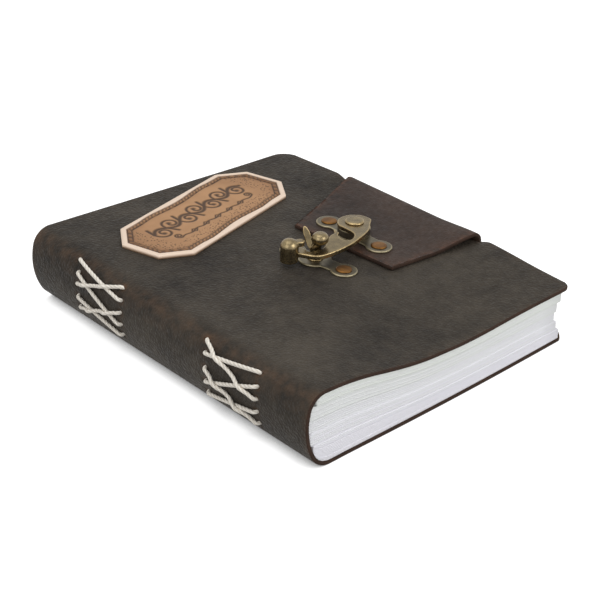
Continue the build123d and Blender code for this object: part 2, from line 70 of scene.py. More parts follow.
Tree = bpy.types.NodeTree
Material = bpy.types.Material
Piece = bpy.types.Object

ATTRIBUTE = "ShaderNodeAttribute"
BUMP = "ShaderNodeBump"
MAP_RANGE = "ShaderNodeMapRange"
MATH = "ShaderNodeMath"
MIX = "ShaderNodeMix"
NOISE = "ShaderNodeTexNoise"
COLOUR = {"data_type": "RGBA"}
TIMES = {"operation": "MULTIPLY"}
TIMES_PLUS = {"operation": "MULTIPLY_ADD"}
LARGER = {"operation": "MAXIMUM"}


class Body(str, Enum):
    """The moving bodies of the frame."""

    BOOK = "book"
    COVER = "front_cover"
    STRAP = "strap"
    FLAP = "flap"
    ARM = "swing_arm"


class Slot(str, Enum):
    """The material slots of the record."""

    COVER = "cover_leather"
    FLAP = "flap_leather"
    LABEL = "label_leather"
    PAPER = "page_paper"
    THREAD = "waxed_thread"
    BRASS = "antique_brass"
    RIVET = "rivet_brass"


def linear(code: str) -> tuple[float, float, float, float]:
    """Turns an sRGB hex value into a linear colour.

    Args:
        code: six hex digits.

    Returns:
        Linear red, green, blue and a full alpha.
    """
    parts = [int(code[i : i + 2], 16) / 255 for i in (0, 2, 4)]
    bent = [c / 12.92 if c <= 0.04045 else ((c + 0.055) / 1.055) ** 2.4 for c in parts]
    return (bent[0], bent[1], bent[2], 1.0)


def add_node(tree: Tree, kind: str, settings: dict | None = None, inputs: dict | None = None) -> Node:
    """Adds a node with its settings, socket values and links.

    Args:
        tree: the node tree.
        kind: the node's type name.
        settings: attributes of the node.
        inputs: socket name or index to a value, or to the socket or node that is linked to it.

    Returns:
        The new node.
    """
    node = tree.nodes.new(kind)
    for name, value in (settings or {}).items():
        setattr(node, name, value)
    for name, value in (inputs or {}).items():
        if isinstance(value, Node):
            value = value.outputs[0]
        if isinstance(value, bpy.types.NodeSocket):
            tree.links.new(value, node.inputs[name])
        else:
            node.inputs[name].default_value = value
    return node


def empty_tree(owner: Material | bpy.types.World) -> Tree:
    """Gives a material or world an empty node tree.

    Args:
        owner: the material or world.

    Returns:
        Its node tree.
    """
    owner.use_nodes = True
    owner.node_tree.nodes.clear()
    return owner.node_tree


def start_material(name: str) -> tuple[Material, Tree, Node]:
    """Starts a material whose patterns are sized in millimetres.

    Args:
        name: of the material.

    Returns:
        The material, its empty tree and the node that gives places in millimetres.
    """
    made = bpy.data.materials.new(name)
    tree = empty_tree(made)
    place = add_node(tree, "ShaderNodeTexCoord").outputs["Object"]
    mm = add_node(tree, "ShaderNodeMapping", {}, {"Vector": place, "Scale": (1 / MM,) * 3})
    return made, tree, mm


def end_material(tree: Tree, colour: Node, bump: Node, values: dict) -> None:
    """Ends a material in its shader.

    Args:
        tree: of the material.
        colour: the colour mix.
        bump: the bump.
        values: the shader's other sockets.
    """
    inputs = {"Base Color": colour.outputs[2], "Normal": bump, **values}
    shader = add_node(tree, "ShaderNodeBsdfPrincipled", {}, inputs)
    add_node(tree, "ShaderNodeOutputMaterial", {}, {"Surface": shader})


def share(values: Array, start: float, run: float) -> Array:
    """How far values are along a run, from 0 to 1."""
    return np.clip((np.asarray(values, float) - start) / run, 0, 1)


def ramp(values: Array, start: float, run: float) -> Array:
    """How far values are along a run, from 0 to 1 and eased at both ends."""
    t = share(values, start, run)
    return t * t * (3 - 2 * t)


def even_steps(start: float, stop: float, step: float) -> Array:
    """Evenly spaced values, both ends included, about a step apart."""
    count = max(2, int(round(abs(stop - start) / step)) + 1)
    return np.linspace(start, stop, count)


def edge_steps(near: float, inner: float, step: float) -> Array:
    """Shares from 0 to 1, about a step apart from inner on, with one at near next to both ends."""
    return np.concatenate([[0, near], even_steps(inner, 1 - inner, step), [1 - near, 1]])


def grain_noise(points: Array, size: float, seed: float) -> Array:
    """Smooth noise from -1 to 1 at points.

    Args:
        points: rows of x, y, z in millimetres.
        size: distance over which the noise changes, in millimetres.
        seed: offset that picks another pattern.

    Returns:
        One value for each point.
    """
    flat = points.reshape(-1, 3) / size + seed
    values = [noise.noise(Vector(p)) for p in flat]
    return np.array(values).reshape(points.shape[:-1])


def nearest(points: Array, others: Array) -> Array:
    """Distance from each point to the nearest of some others.

    Args:
        points: rows of coordinates.
        others: rows of coordinates.

    Returns:
        One distance for each point.
    """
    batch = 4000
    found = []
    for k in range(0, len(points), batch):
        gaps = points[k : k + batch, None, :] - others[None, :, :]
        found.append(np.sqrt((gaps**2).sum(-1)).min(1))
    return np.concatenate(found)


def link_piece(name: str, mesh: bpy.types.Mesh) -> Piece:
    """Makes an object of a mesh.

    Args:
        name: of the object.
        mesh: its mesh.

    Returns:
        The new object, linked to the scene.
    """
    piece = bpy.data.objects.new(name, mesh)
    bpy.context.scene.collection.objects.link(piece)
    return piece


def new_piece(name: str, points: Array, faces: list, materials: list, picks: list | None = None) -> Piece:
    """Makes an object from points in millimetres, smooth and with its faces pointing outwards.

    Args:
        name: the piece's name.
        points: rows of x, y, z in millimetres.
        faces: lists of point numbers.
        materials: the piece's materials.
        picks: material number of each face.

    Returns:
        The new object, linked to the scene.
    """
    mesh = bpy.data.meshes.new(name)
    mesh.from_pydata((points * MM).tolist(), [], faces)
    for material in materials:
        mesh.materials.append(material)
    if picks is not None:
        mesh.polygons.foreach_set("material_index", np.asarray(picks, np.int32))
    shell = bmesh.new()
    shell.from_mesh(mesh)
    bmesh.ops.recalc_face_normals(shell, faces=shell.faces)
    shell.to_mesh(mesh)
    shell.free()
    mesh.shade_smooth()
    return link_piece(name, mesh)


def settle(piece: Piece, material: Material | None = None) -> None:
    """Turns a piece with live modifiers into a plain, smooth mesh.

    Args:
        piece: the object.
        material: set as the only material where the modifiers' mesh has none.
    """
    graph = bpy.context.evaluated_depsgraph_get()
    graph.update()
    mesh = bpy.data.meshes.new_from_object(piece.evaluated_get(graph))
    piece.modifiers.clear()
    piece.data = mesh
    if material is not None and not mesh.materials:
        mesh.materials.append(material)
    mesh.shade_smooth()


def stand_for(piece: Piece, node: str) -> None:
    """Puts a piece in place of a CAD node, and reports it.

    Args:
        piece: the object, which already has its body.
        node: the CAD node that it replaces.
    """
    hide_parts(node)
    log.info("%s: %d faces", piece.name, len(piece.data.polygons))


def paint(piece: Piece, name: str, values: Array) -> None:
    """Stores one number for each point of a piece, which its material reads by name."""
    layer = piece.data.attributes.new(name, "FLOAT", "POINT")
    layer.data.foreach_set("value", np.asarray(values, np.float32))


def points_of(piece: Piece) -> Array:
    """Points of a piece in millimetres.

    Args:
        piece: the object.

    Returns:
        Rows of x, y, z.
    """
    place = np.zeros(len(piece.data.vertices) * 3, np.float32)
    piece.data.vertices.foreach_get("co", place)
    return place.reshape(-1, 3).astype(float) / MM


def start_tree(name: str, start: str, sizes: tuple, result: str) -> tuple[Tree, Node]:
    """Starts a Geometry Nodes tree.

    Args:
        name: of the tree.
        start: name of its geometry input.
        sizes: names of its number inputs.
        result: name of its geometry output.

    Returns:
        The tree and its input node.
    """
    tree = bpy.data.node_groups.new(name, "GeometryNodeTree")
    tree.interface.new_socket(start, in_out="INPUT", socket_type="NodeSocketGeometry")
    for size in sizes:
        tree.interface.new_socket(size, in_out="INPUT", socket_type="NodeSocketFloat")
    tree.interface.new_socket(result, in_out="OUTPUT", socket_type="NodeSocketGeometry")
    return tree, add_node(tree, "NodeGroupInput")


def end_tree(tree: Tree, shape: Node, material: Material) -> None:
    """Ends a Geometry Nodes tree: its instances are made real and get their material.

    Args:
        tree: the tree.
        shape: node that gives the geometry.
        material: of the geometry.
    """
    real = add_node(tree, "GeometryNodeRealizeInstances", {}, {"Geometry": shape})
    dressed = add_node(tree, "GeometryNodeSetMaterial", {}, {"Geometry": real, "Material": material})
    add_node(tree, "NodeGroupOutput", {}, {0: dressed})


def grow(name: str, points: Array, edges: list, tree: Tree, sizes: dict, material: Material) -> Piece:
    """Makes a plain mesh with a Geometry Nodes tree.

    Args:
        name: the piece's name.
        points: rows of x, y, z in millimetres that the tree starts from.
        edges: pairs of point numbers.
        tree: the Geometry Nodes tree.
        sizes: value of each of its number inputs, by name.
        material: of the piece.

    Returns:
        The new object, linked to the scene.
    """
    mesh = bpy.data.meshes.new(name + "_base")
    mesh.from_pydata((points * MM).tolist(), edges, [])
    piece = link_piece(name, mesh)
    nodes = piece.modifiers.new(tree.name, "NODES")
    nodes.node_group = tree
    for socket in tree.interface.items_tree:
        if socket.name in sizes:
            nodes[socket.identifier] = sizes[socket.name]
    settle(piece, material)
    return piece


def grid_faces(rows: int, columns: int, first: int = 0) -> list:
    """Quads of a grid whose points are numbered row by row.

    Args:
        rows: count of rows.
        columns: count of columns.
        first: number of the first point.

    Returns:
        Lists of four point numbers.
    """
    faces = []
    for i in range(rows - 1):
        for j in range(columns - 1):
            a = first + i * columns + j
            faces.append([a, a + 1, a + columns + 1, a + columns])
    return faces


def tube_faces(rings: int, sides: int, first: int) -> list:
    """Quads round a tube whose points are numbered ring by ring.

    Args:
        rings: count of rings.
        sides: points in each ring.
        first: number of the first point.

    Returns:
        Lists of four point numbers.
    """
    faces = []
    for a in range(first, first + (rings - 1) * sides, sides):
        for k in range(sides):
            n = (k + 1) % sides
            faces.append([a + k, a + n, a + sides + n, a + sides + k])
    return faces


def rim_loop(rows: int, columns: int) -> tuple[Array, Array]:
    """Walks once round the outline of a grid.

    Args:
        rows: count of rows.
        columns: count of columns.

    Returns:
        Row and column of each point of the outline.
    """
    loop = [(0, j) for j in range(columns)]
    loop += [(i, columns - 1) for i in range(1, rows)]
    loop += [(rows - 1, j) for j in range(columns - 2, -1, -1)]
    loop += [(i, 0) for i in range(rows - 2, 0, -1)]
    return tuple(np.array(loop).T)


def grid_normals(points: Array) -> Array:
    """Unit normals of a grid of points."""
    normal = np.cross(np.gradient(points, axis=0), np.gradient(points, axis=1))
    return normal / np.linalg.norm(normal, axis=-1, keepdims=True)


@dataclass(frozen=True)
class SheetEdges:
    """Which ends of a leather sheet are cut; the others join another sheet."""

    first_row: bool = True
    last_row: bool = True


def leather_sheet(
    name: str, face: Array, thickness: float, edges: SheetEdges, finishes: list
) -> tuple[Piece, Array]:
    """Makes a closed leather sheet from a grid of points on its grain side.

    Args:
        name: the piece's name.
        face: rows by columns of points whose normals point out of the grain side.
        thickness: of the leather.
        edges: the ends that are cut; these and the sides get a slightly rounded edge.
        finishes: materials of the grain side, the cut edge and the flesh side.

    Returns:
        The new object and, for each of its points, the distance from the nearest cut edge.
    """
    rounding = 0.4
    grain, cut_edge, flesh = range(3)
    rows, columns, _ = face.shape
    flat = face.reshape(-1, 3)
    normal = grid_normals(face)
    i, j = rim_loop(rows, columns)
    index = i * columns + j
    rim = face[i, j]
    rim_normal = normal[i, j]
    out = np.cross(np.roll(rim, -1, 0) - np.roll(rim, 1, 0), rim_normal)
    out /= np.linalg.norm(out, axis=1, keepdims=True)
    side_column = np.clip(j, 1, columns - 2)
    outwards = rim - face[np.clip(i, 1, rows - 2), side_column]
    out *= np.where((out * outwards).sum(1) < 0, -1, 1)[:, None]
    joined = np.where(i == 0, not edges.first_row, (i == rows - 1) & (not edges.last_row))
    on_side = (j == 0) | (j == columns - 1)
    radius = np.where(joined & ~on_side, 0.0, rounding)
    ends = joined & on_side
    sideways = (rim - face[i, side_column])[ends]
    out[ends] = sideways / np.linalg.norm(sideways, axis=1, keepdims=True)
    outer = flat.copy()
    outer[index] -= out * radius[:, None]
    inner = flat - normal.reshape(-1, 3) * thickness
    inner[index] -= out * radius[:, None]
    turns = np.radians([30, 60, 90])
    rings = [(math.sin(t) - 1, 1 - math.cos(t), 0.0) for t in turns]
    rings.append((0.0, 0.0, thickness / 2))
    rings += [(math.sin(t) - 1, math.cos(t) - 1, thickness) for t in turns[::-1]]
    points = [outer]
    for side, drop, depth in rings:
        lowered = rim_normal * (drop * radius + depth)[:, None]
        points.append(rim + out * (side * radius)[:, None] - lowered)
    points.append(inner)
    count = len(flat)
    length = len(index)
    inner_first = count + len(rings) * length
    faces = grid_faces(rows, columns)
    picks = [grain] * len(faces)
    belts = [index]
    belts += [np.arange(length) + count + k * length for k in range(len(rings))]
    belts.append(index + inner_first)
    cut = (radius > 0) & (np.roll(radius, -1) > 0)
    for upper, lower in zip(belts, belts[1:]):
        faces += np.stack([upper, lower, np.roll(lower, -1), np.roll(upper, -1)], 1).tolist()
        picks += np.where(cut, cut_edge, flesh).tolist()
    back = grid_faces(rows, columns, inner_first)
    faces += [quad[::-1] for quad in back]
    picks += [flesh] * len(back)
    piece = new_piece(name, np.concatenate(points), faces, finishes, picks)
    reach = nearest(flat, rim[radius > 0][::2])
    return piece, np.concatenate([reach, np.zeros(len(rings) * length), reach])


@dataclass(frozen=True)
class LeatherFinish:
    """Oil-tanned cowhide: a waxy, low-sheen grain with pebbles and paler brown where it is rubbed."""

    name: str
    deep: str
    base: str
    rubbed: str
    grain_mm: float
    grain_height_mm: float
    roughness: float
    drift_mm: float = 38.0
    mottle_mm: float = 4.5
    crease_mm: float = 1.9

    def material(self) -> Material:
        """Builds the material.

        Returns:
            Leather whose tone drifts over centimetres, rubbed where the attribute named wear is high.
        """
        made, tree, mm = start_material(self.name)
        drift = add_node(tree, NOISE, {}, {"Vector": mm, "Scale": 1 / self.drift_mm, "Detail": 3.0})
        mottle = add_node(tree, NOISE, {}, {"Vector": mm, "Scale": 1 / self.mottle_mm, "Detail": 4.0})
        crease = add_node(tree, NOISE, {}, {"Vector": mm, "Scale": 1 / self.crease_mm, "Detail": 5.0})
        cells = {"Vector": mm, "Scale": 1 / self.grain_mm, "Smoothness": 0.5}
        pebble = add_node(tree, "ShaderNodeTexVoronoi", {"feature": "SMOOTH_F1"}, cells)
        tone = add_node(tree, MATH, TIMES_PLUS, {0: mottle, 1: 0.5, 2: drift})
        tone_map = add_node(tree, MAP_RANGE, {}, {"Value": tone, 1: 0.5, 2: 1.0})
        body = add_node(tree, MIX, COLOUR, {0: tone_map, 6: linear(self.deep), 7: linear(self.base)})
        wear = add_node(tree, ATTRIBUTE, {"attribute_name": "wear"}).outputs["Fac"]
        patchy = add_node(tree, MAP_RANGE, {}, {"Value": mottle, 1: 0.34, 2: 0.62})
        rubbed = add_node(tree, MATH, TIMES, {0: wear, 1: patchy})
        colour = add_node(tree, MIX, COLOUR, {0: rubbed, 6: body.outputs[2], 7: linear(self.rubbed)})
        height = add_node(tree, MATH, TIMES_PLUS, {0: crease, 1: 0.45, 2: pebble})
        raised = {"Strength": 0.8, "Distance": self.grain_height_mm * MM, "Height": height}
        bump = add_node(tree, BUMP, {"invert": True}, raised)
        spread = {"Value": crease, 1: 0.3, 2: 0.7, 3: self.roughness - 0.1, 4: self.roughness + 0.1}
        sheen = add_node(tree, MAP_RANGE, {}, spread)
        end_material(tree, colour, bump, {"Roughness": sheen, "IOR": 1.5, "Specular IOR Level": 0.14})
        return made


@dataclass(frozen=True)
class FibreFinish:
    """Cut or flesh side of the hide: matt, fibrous and browner than the grain side."""

    name: str
    dark: str
    light: str
    # Real fibres are finer: they are drawn as coarse as they need to show.
    fibre_mm: float
    roughness: float
    patch_mm: float = 9.0
    nap_mm: float = 0.15

    def material(self) -> Material:
        """Builds the material.

        Returns:
            A matt nap whose fibres show as fine mottling.
        """
        made, tree, mm = start_material(self.name)
        nap = add_node(tree, NOISE, {}, {"Vector": mm, "Scale": 1 / self.fibre_mm, "Detail": 6.0})
        patch = add_node(tree, NOISE, {}, {"Vector": mm, "Scale": 1 / self.patch_mm, "Detail": 3.0})
        tone = add_node(tree, MATH, TIMES_PLUS, {0: patch, 1: 0.8, 2: nap})
        tone_map = add_node(tree, MAP_RANGE, {}, {"Value": tone, 1: 0.55, 2: 1.2})
        colour = add_node(tree, MIX, COLOUR, {0: tone_map, 6: linear(self.dark), 7: linear(self.light)})
        bump = add_node(tree, BUMP, {}, {"Strength": 0.6, "Distance": self.nap_mm * MM, "Height": nap})
        end_material(tree, colour, bump, {"Roughness": self.roughness, "Specular IOR Level": 0.15})
        return made


@dataclass(frozen=True)
class PaperFinish:
    """Uncoated white writing paper: matt, faintly cool, with a little tooth."""

    name: str
    sheet: str
    shade: str
    # Real tooth is finer: it is drawn as coarse as it needs to show.
    tooth_mm: float = 0.5
    tooth_height_mm: float = 0.08

    def material(self) -> Material:
        """Builds the material.

        Returns:
            Matt paper whose tone follows the attribute named leaf.
        """
        made, tree, mm = start_material(self.name)
        tooth = add_node(tree, NOISE, {}, {"Vector": mm, "Scale": 1 / self.tooth_mm, "Detail": 4.0})
        leaf = add_node(tree, ATTRIBUTE, {"attribute_name": "leaf"}).outputs["Fac"]
        colour = add_node(tree, MIX, COLOUR, {0: leaf, 6: linear(self.sheet), 7: linear(self.shade)})
        raised = {"Strength": 0.25, "Distance": self.tooth_height_mm * MM, "Height": tooth}
        bump = add_node(tree, BUMP, {}, raised)
        end_material(tree, colour, bump, {"Roughness": 0.9, "Specular IOR Level": 0.2})
        return made


@dataclass(frozen=True)
class ThreadFinish:
    """Waxed linen thread: cream, twisted, with a soft wax sheen and painted shade in the valleys between its
    plies.
    """

    name: str
    strand: str
    valley_shade: str
    # Real flax fibres are finer: they are drawn as coarse as they need to show.
    fibre_mm: float = 0.3
    fibre_height_mm: float = 0.1

    def material(self) -> Material:
        """Builds the material.

        Returns:
            Cream thread with painted shade where the attribute named ply is low, in the valleys between the
            plies.
        """
        made, tree, mm = start_material(self.name)
        fibre = add_node(tree, NOISE, {}, {"Vector": mm, "Scale": 1 / self.fibre_mm, "Detail": 3.0})
        ply = add_node(tree, ATTRIBUTE, {"attribute_name": "ply"}).outputs["Fac"]
        colour = add_node(tree, MIX, COLOUR, {0: ply, 6: linear(self.valley_shade), 7: linear(self.strand)})
        raised = {"Strength": 0.4, "Distance": self.fibre_height_mm * MM, "Height": fibre}
        bump = add_node(tree, BUMP, {}, raised)
        end_material(tree, colour, bump, {"Roughness": 0.62})
        return made


@dataclass(frozen=True)
class BrassFinish:
    """Antiqued brass: brown patina in stains, and brighter metal on the rubbed edges."""

    name: str
    patina: str
    metal: str
    bright: str
    roughness: float
    stain_mm: float = 3.2
    pit_mm: float = 0.7
    pit_depth_mm: float = 0.05

    def material(self) -> Material:
        """Builds the material.

        Returns:
            Brass whose patina thins where the attribute named edge is high.
        """
        made, tree, mm = start_material(self.name)
        stain = add_node(tree, NOISE, {}, {"Vector": mm, "Scale": 1 / self.stain_mm, "Detail": 5.0})
        pit = add_node(tree, NOISE, {}, {"Vector": mm, "Scale": 1 / self.pit_mm, "Detail": 4.0})
        stain_map = add_node(tree, MAP_RANGE, {}, {"Value": stain, 1: 0.36, 2: 0.66})
        aged = add_node(tree, MIX, COLOUR, {0: stain_map, 6: linear(self.patina), 7: linear(self.metal)})
        edge = add_node(tree, ATTRIBUTE, {"attribute_name": "edge"}).outputs["Fac"]
        colour = add_node(tree, MIX, COLOUR, {0: edge, 6: aged.outputs[2], 7: linear(self.bright)})
        spread = {"Value": pit, 1: 0.3, 2: 0.7, 3: self.roughness - 0.07, 4: self.roughness + 0.1}
        rough = add_node(tree, MAP_RANGE, {}, spread)
        raised = {"Strength": 0.15, "Distance": self.pit_depth_mm * MM, "Height": pit}
        bump = add_node(tree, BUMP, {}, raised)
        end_material(tree, colour, bump, {"Metallic": 1.0, "Roughness": rough})
        return made


@dataclass(frozen=True)
class LabelFinish:
    """Vegetable-tanned leather: pale bare rim, stained tan middle and dark burnished tooling."""

    name: str
    bare: str
    tan: str
    stain: str
    line: str
    cloud_mm: float = 7.0
    pore_mm: float = 0.6
    pore_depth_mm: float = 0.12
    punch_mm: float = 1.15

    def material(self) -> Material:
        """Builds the material.

        Returns:
            Leather tinted by the attributes named panel, shade, tool and stipple.
        """
        made, tree, mm = start_material(self.name)
        cloud = add_node(tree, NOISE, {}, {"Vector": mm, "Scale": 1 / self.cloud_mm, "Detail": 4.0})
        pore = add_node(tree, NOISE, {}, {"Vector": mm, "Scale": 1 / self.pore_mm, "Detail": 4.0})
        layers = ("panel", "shade", "tool", "stipple")
        read = [add_node(tree, ATTRIBUTE, {"attribute_name": layer}) for layer in layers]
        panel, shade, tool, stipple = [node.outputs["Fac"] for node in read]
        punch = add_node(tree, "ShaderNodeTexVoronoi", {}, {"Vector": mm, "Scale": 1 / self.punch_mm})
        dot = add_node(tree, MAP_RANGE, {}, {"Value": punch, 1: 0.2, 2: 0.42, 3: 0.8, 4: 0.0})
        dots = add_node(tree, MATH, TIMES, {0: dot, 1: stipple})
        dark = add_node(tree, MATH, LARGER, {0: tool, 1: dots})
        cloudy = add_node(tree, MATH, {**TIMES_PLUS, "use_clamp": True}, {0: cloud, 1: 0.5, 2: shade})
        dyed = add_node(tree, MIX, COLOUR, {0: cloudy, 6: linear(self.tan), 7: linear(self.stain)})
        ground = add_node(tree, MIX, COLOUR, {0: panel, 6: linear(self.bare), 7: dyed.outputs[2]})
        colour = add_node(tree, MIX, COLOUR, {0: dark, 6: ground.outputs[2], 7: linear(self.line)})
        raised = {"Strength": 0.35, "Distance": self.pore_depth_mm * MM, "Height": pore}
        bump = add_node(tree, BUMP, {}, raised)
        end_material(tree, colour, bump, {"Roughness": 0.6, "Specular IOR Level": 0.2})
        return made


@dataclass(frozen=True)
class BookShape:
    """Section of the closed book: a rounded spine between two shoulders, and two cover panels.

    The ramps run along book x, or along y from the middle towards the tail or the head.
    """

    height: float = 178.0
    width: float = 147.5
    spine: float = 34.0
    fore_edge: float = 26.2
    leather: float = 1.6
    top_shoulder: float = 9.0
    bottom_shoulder: float = 10.0
    spine_round: float = 30.0
    spine_crown: float = 19.5
    head_corner: float = 8.0
    tail_corner: float = 4.0
    middle: float = 72.993
    paper_depth: float = 1.72
    tail_sag: float = 4.8
    sag_from_spine: Ramp = (16.0, 52.0)
    sag_to_edge: Ramp = (76.0, 72.0)
    sag_loss: float = 0.78
    sag_to_tail: Ramp = (33.0, 56.0)
    tail_bow: float = 0.8
    bow_across: Ramp = (20.0, 124.0)
    bow_to_tail: Ramp = (60.0, 29.0)
    fore_lift: float = 1.9
    lift_to_edge: Ramp = (112.0, 35.5)
    lift_tail_side: Ramp = (35.5, 9.0)
    lift_tail_loss: Ramp = (45.0, 44.0)
    head_lift: float = 0.75
    lift_head_side: Ramp = (43.0, 10.0)
    lift_head_loss: Ramp = (52.0, 37.0)
    head_loss: float = 0.8
    fore_bow: float = 1.0
    corner_spread: float = 2.2
    spread_to_tail: Ramp = (38.0, 50.0)

    def shoulder_x(self, radius: float, height: float) -> float:
        """Book x of a shoulder's centre."""
        run = (self.spine_round - radius) ** 2 - (height - self.spine_crown) ** 2
        return self.spine_round - math.sqrt(run)

    def join(self, radius: float, height: float) -> float:
        """Climb at which the spine's face runs into a shoulder, in degrees."""
        return math.degrees(math.asin((height - self.spine_crown) / (self.spine_round - radius)))

    @property
    def top_z(self) -> float:
        """Height of the top shoulder's centre."""
        return self.spine - self.top_shoulder

    @property
    def top_x(self) -> float:
        """Book x of the top shoulder's centre."""
        return self.shoulder_x(self.top_shoulder, self.top_z)

    @property
    def low_x(self) -> float:
        """Book x of the bottom shoulder's centre."""
        return self.shoulder_x(self.bottom_shoulder, self.bottom_shoulder)

    @property
    def top_join(self) -> float:
        """Climb at which the spine's face runs into the top shoulder, in degrees."""
        return self.join(self.top_shoulder, self.top_z)

    @property
    def low_join(self) -> float:
        """Climb at which the spine's face runs into the bottom shoulder, in degrees."""
        return self.join(self.bottom_shoulder, self.bottom_shoulder)

    @property
    def tilt(self) -> float:
        """Slope of the front cover towards the fore-edge.

        Returns:
            An angle in radians.
        """
        across = self.width - self.top_x
        down = self.fore_edge - self.top_z
        return math.asin(self.top_shoulder / math.hypot(across, down)) - math.atan2(down, across)

    @property
    def top_climb(self) -> float:
        """Climb at which the top shoulder runs into the front panel, in degrees."""
        return 90 + math.degrees(self.tilt)

    @property
    def tangent(self) -> tuple[Array, Array]:
        """Book x and z of the line where the top shoulder runs into the front panel."""
        return self.hide_point(self.top_climb, 0)

    def arc(self, top: Array, low: Array) -> tuple[Array, Array, Array]:
        """Arcs of the spine's section.

        Args:
            top: where the top shoulder is meant.
            low: where the bottom shoulder is meant.

        Returns:
            Book x and z of the arc's centre, and its radius.
        """
        x = np.where(top, self.top_x, np.where(low, self.low_x, self.spine_round))
        z = np.where(top, self.top_z, np.where(low, self.bottom_shoulder, self.spine_crown))
        shoulder = np.where(low, self.bottom_shoulder, self.spine_round)
        return x, z, np.where(top, self.top_shoulder, shoulder)

    def hide_point(self, climb: Array, depth: Array) -> tuple[Array, Array]:
        """Points of the spine's section.

        Args:
            climb: degrees up from level.
            depth: inside the outer face.

        Returns:
            Book x and z.
        """
        climb = np.asarray(climb, float)
        x, z, radius = self.arc(climb > self.top_join, climb < self.low_join)
        turn = np.radians(climb)
        return x - (radius - depth) * np.cos(turn), z + (radius - depth) * np.sin(turn)

    def climb_at(self, z: Array, depth: float) -> Array:
        """Climb of the spine's section at a height.

        Args:
            z: heights.
            depth: inside the outer face.

        Returns:
            Degrees up from level.
        """
        z = np.asarray(z, float)
        high = self.hide_point(self.top_join, depth)[1]
        low = self.hide_point(self.low_join, depth)[1]
        _, centre, radius = self.arc(z > high, z < low)
        return np.degrees(np.arcsin(np.clip((z - centre) / (radius - depth), -1, 1)))

    def spine_x(self, z: Array, depth: float) -> Array:
        """Book x of the spine's section at a height, some depth inside its outer face."""
        return self.hide_point(self.climb_at(z, depth), depth)[0]

    def floor_z(self, x: Array, depth: float) -> Array:
        """Height of the bottom shoulder and the back panel.

        Args:
            x: book x.
            depth: inside the hide.

        Returns:
            Heights.
        """
        radius = self.bottom_shoulder - depth
        over = np.clip(self.low_x - np.asarray(x, float), 0, radius)
        return self.bottom_shoulder - np.sqrt(radius**2 - over**2)

    def front_z(self, x: Array, depth: float) -> Array:
        """Height of the front panel.

        Args:
            x: book x.
            depth: inside its outer face.

        Returns:
            Heights.
        """
        tangent_x, tangent_z = self.tangent
        fall = (np.asarray(x, float) - tangent_x) * math.tan(self.tilt)
        return tangent_z - fall - depth / math.cos(self.tilt)

    def panel_sag(self, x: Array, y: Array) -> Array:
        """How far the soft front cover sinks towards the middle of its tail edge.

        Args:
            x: book x.
            y: frame y.

        Returns:
            A height change, zero or less.
        """
        along = ramp(x, *self.sag_from_spine) * (1 - self.sag_loss * ramp(x, *self.sag_to_edge))
        return -self.tail_sag * along * ramp(-y, *self.sag_to_tail)

    def edge_lift(self, x: Array, y: Array) -> Array:
        """How far the front cover's fore-edge springs up on both sides of the flap.

        Args:
            x: book x.
            y: frame y.

        Returns:
            A height change, zero or more.
        """
        tail = ramp(-y, *self.lift_tail_side) * (1 - share(-y, *self.lift_tail_loss))
        head = ramp(y, *self.lift_head_side) * (1 - self.head_loss * share(y, *self.lift_head_loss))
        return self.fore_lift * (tail + self.head_lift * head) * ramp(x, *self.lift_to_edge)

    def bow(self, x: Array, y: Array) -> Array:
        """How far the middle of the tail edges bulges outwards at book x and frame y."""
        across = np.sin(math.pi * share(x, *self.bow_across))
        return self.tail_bow * across * ramp(-y, *self.bow_to_tail)

    def y_limits(self, x: Array) -> tuple[Array, Array]:
        """Limits of a cover panel, with its rounded corners.

        Args:
            x: book x.

        Returns:
            Frame y of the tail and of the head.
        """
        limits = []
        for radius in (self.tail_corner, self.head_corner):
            over = np.clip(x - (self.width - radius), 0, radius)
            limits.append(self.height / 2 - radius + np.sqrt(radius**2 - over**2))
        return -limits[0], limits[1]

    def cover_point(self, u: Array, v: Array, h: Array) -> Array:
        """Points of the front cover's plane.

        Args:
            u: distance from the spine's face along the panel.
            v: frame y.
            h: height above the panel.

        Returns:
            Frame points.
        """
        tangent_x, tangent_z = self.tangent
        u, v, h = np.broadcast_arrays(u, v, h)
        run = u - tangent_x
        x = tangent_x + run * math.cos(self.tilt) + h * math.sin(self.tilt) - self.middle
        z = tangent_z - run * math.sin(self.tilt) + h * math.cos(self.tilt)
        return np.stack([x, v, z], -1)


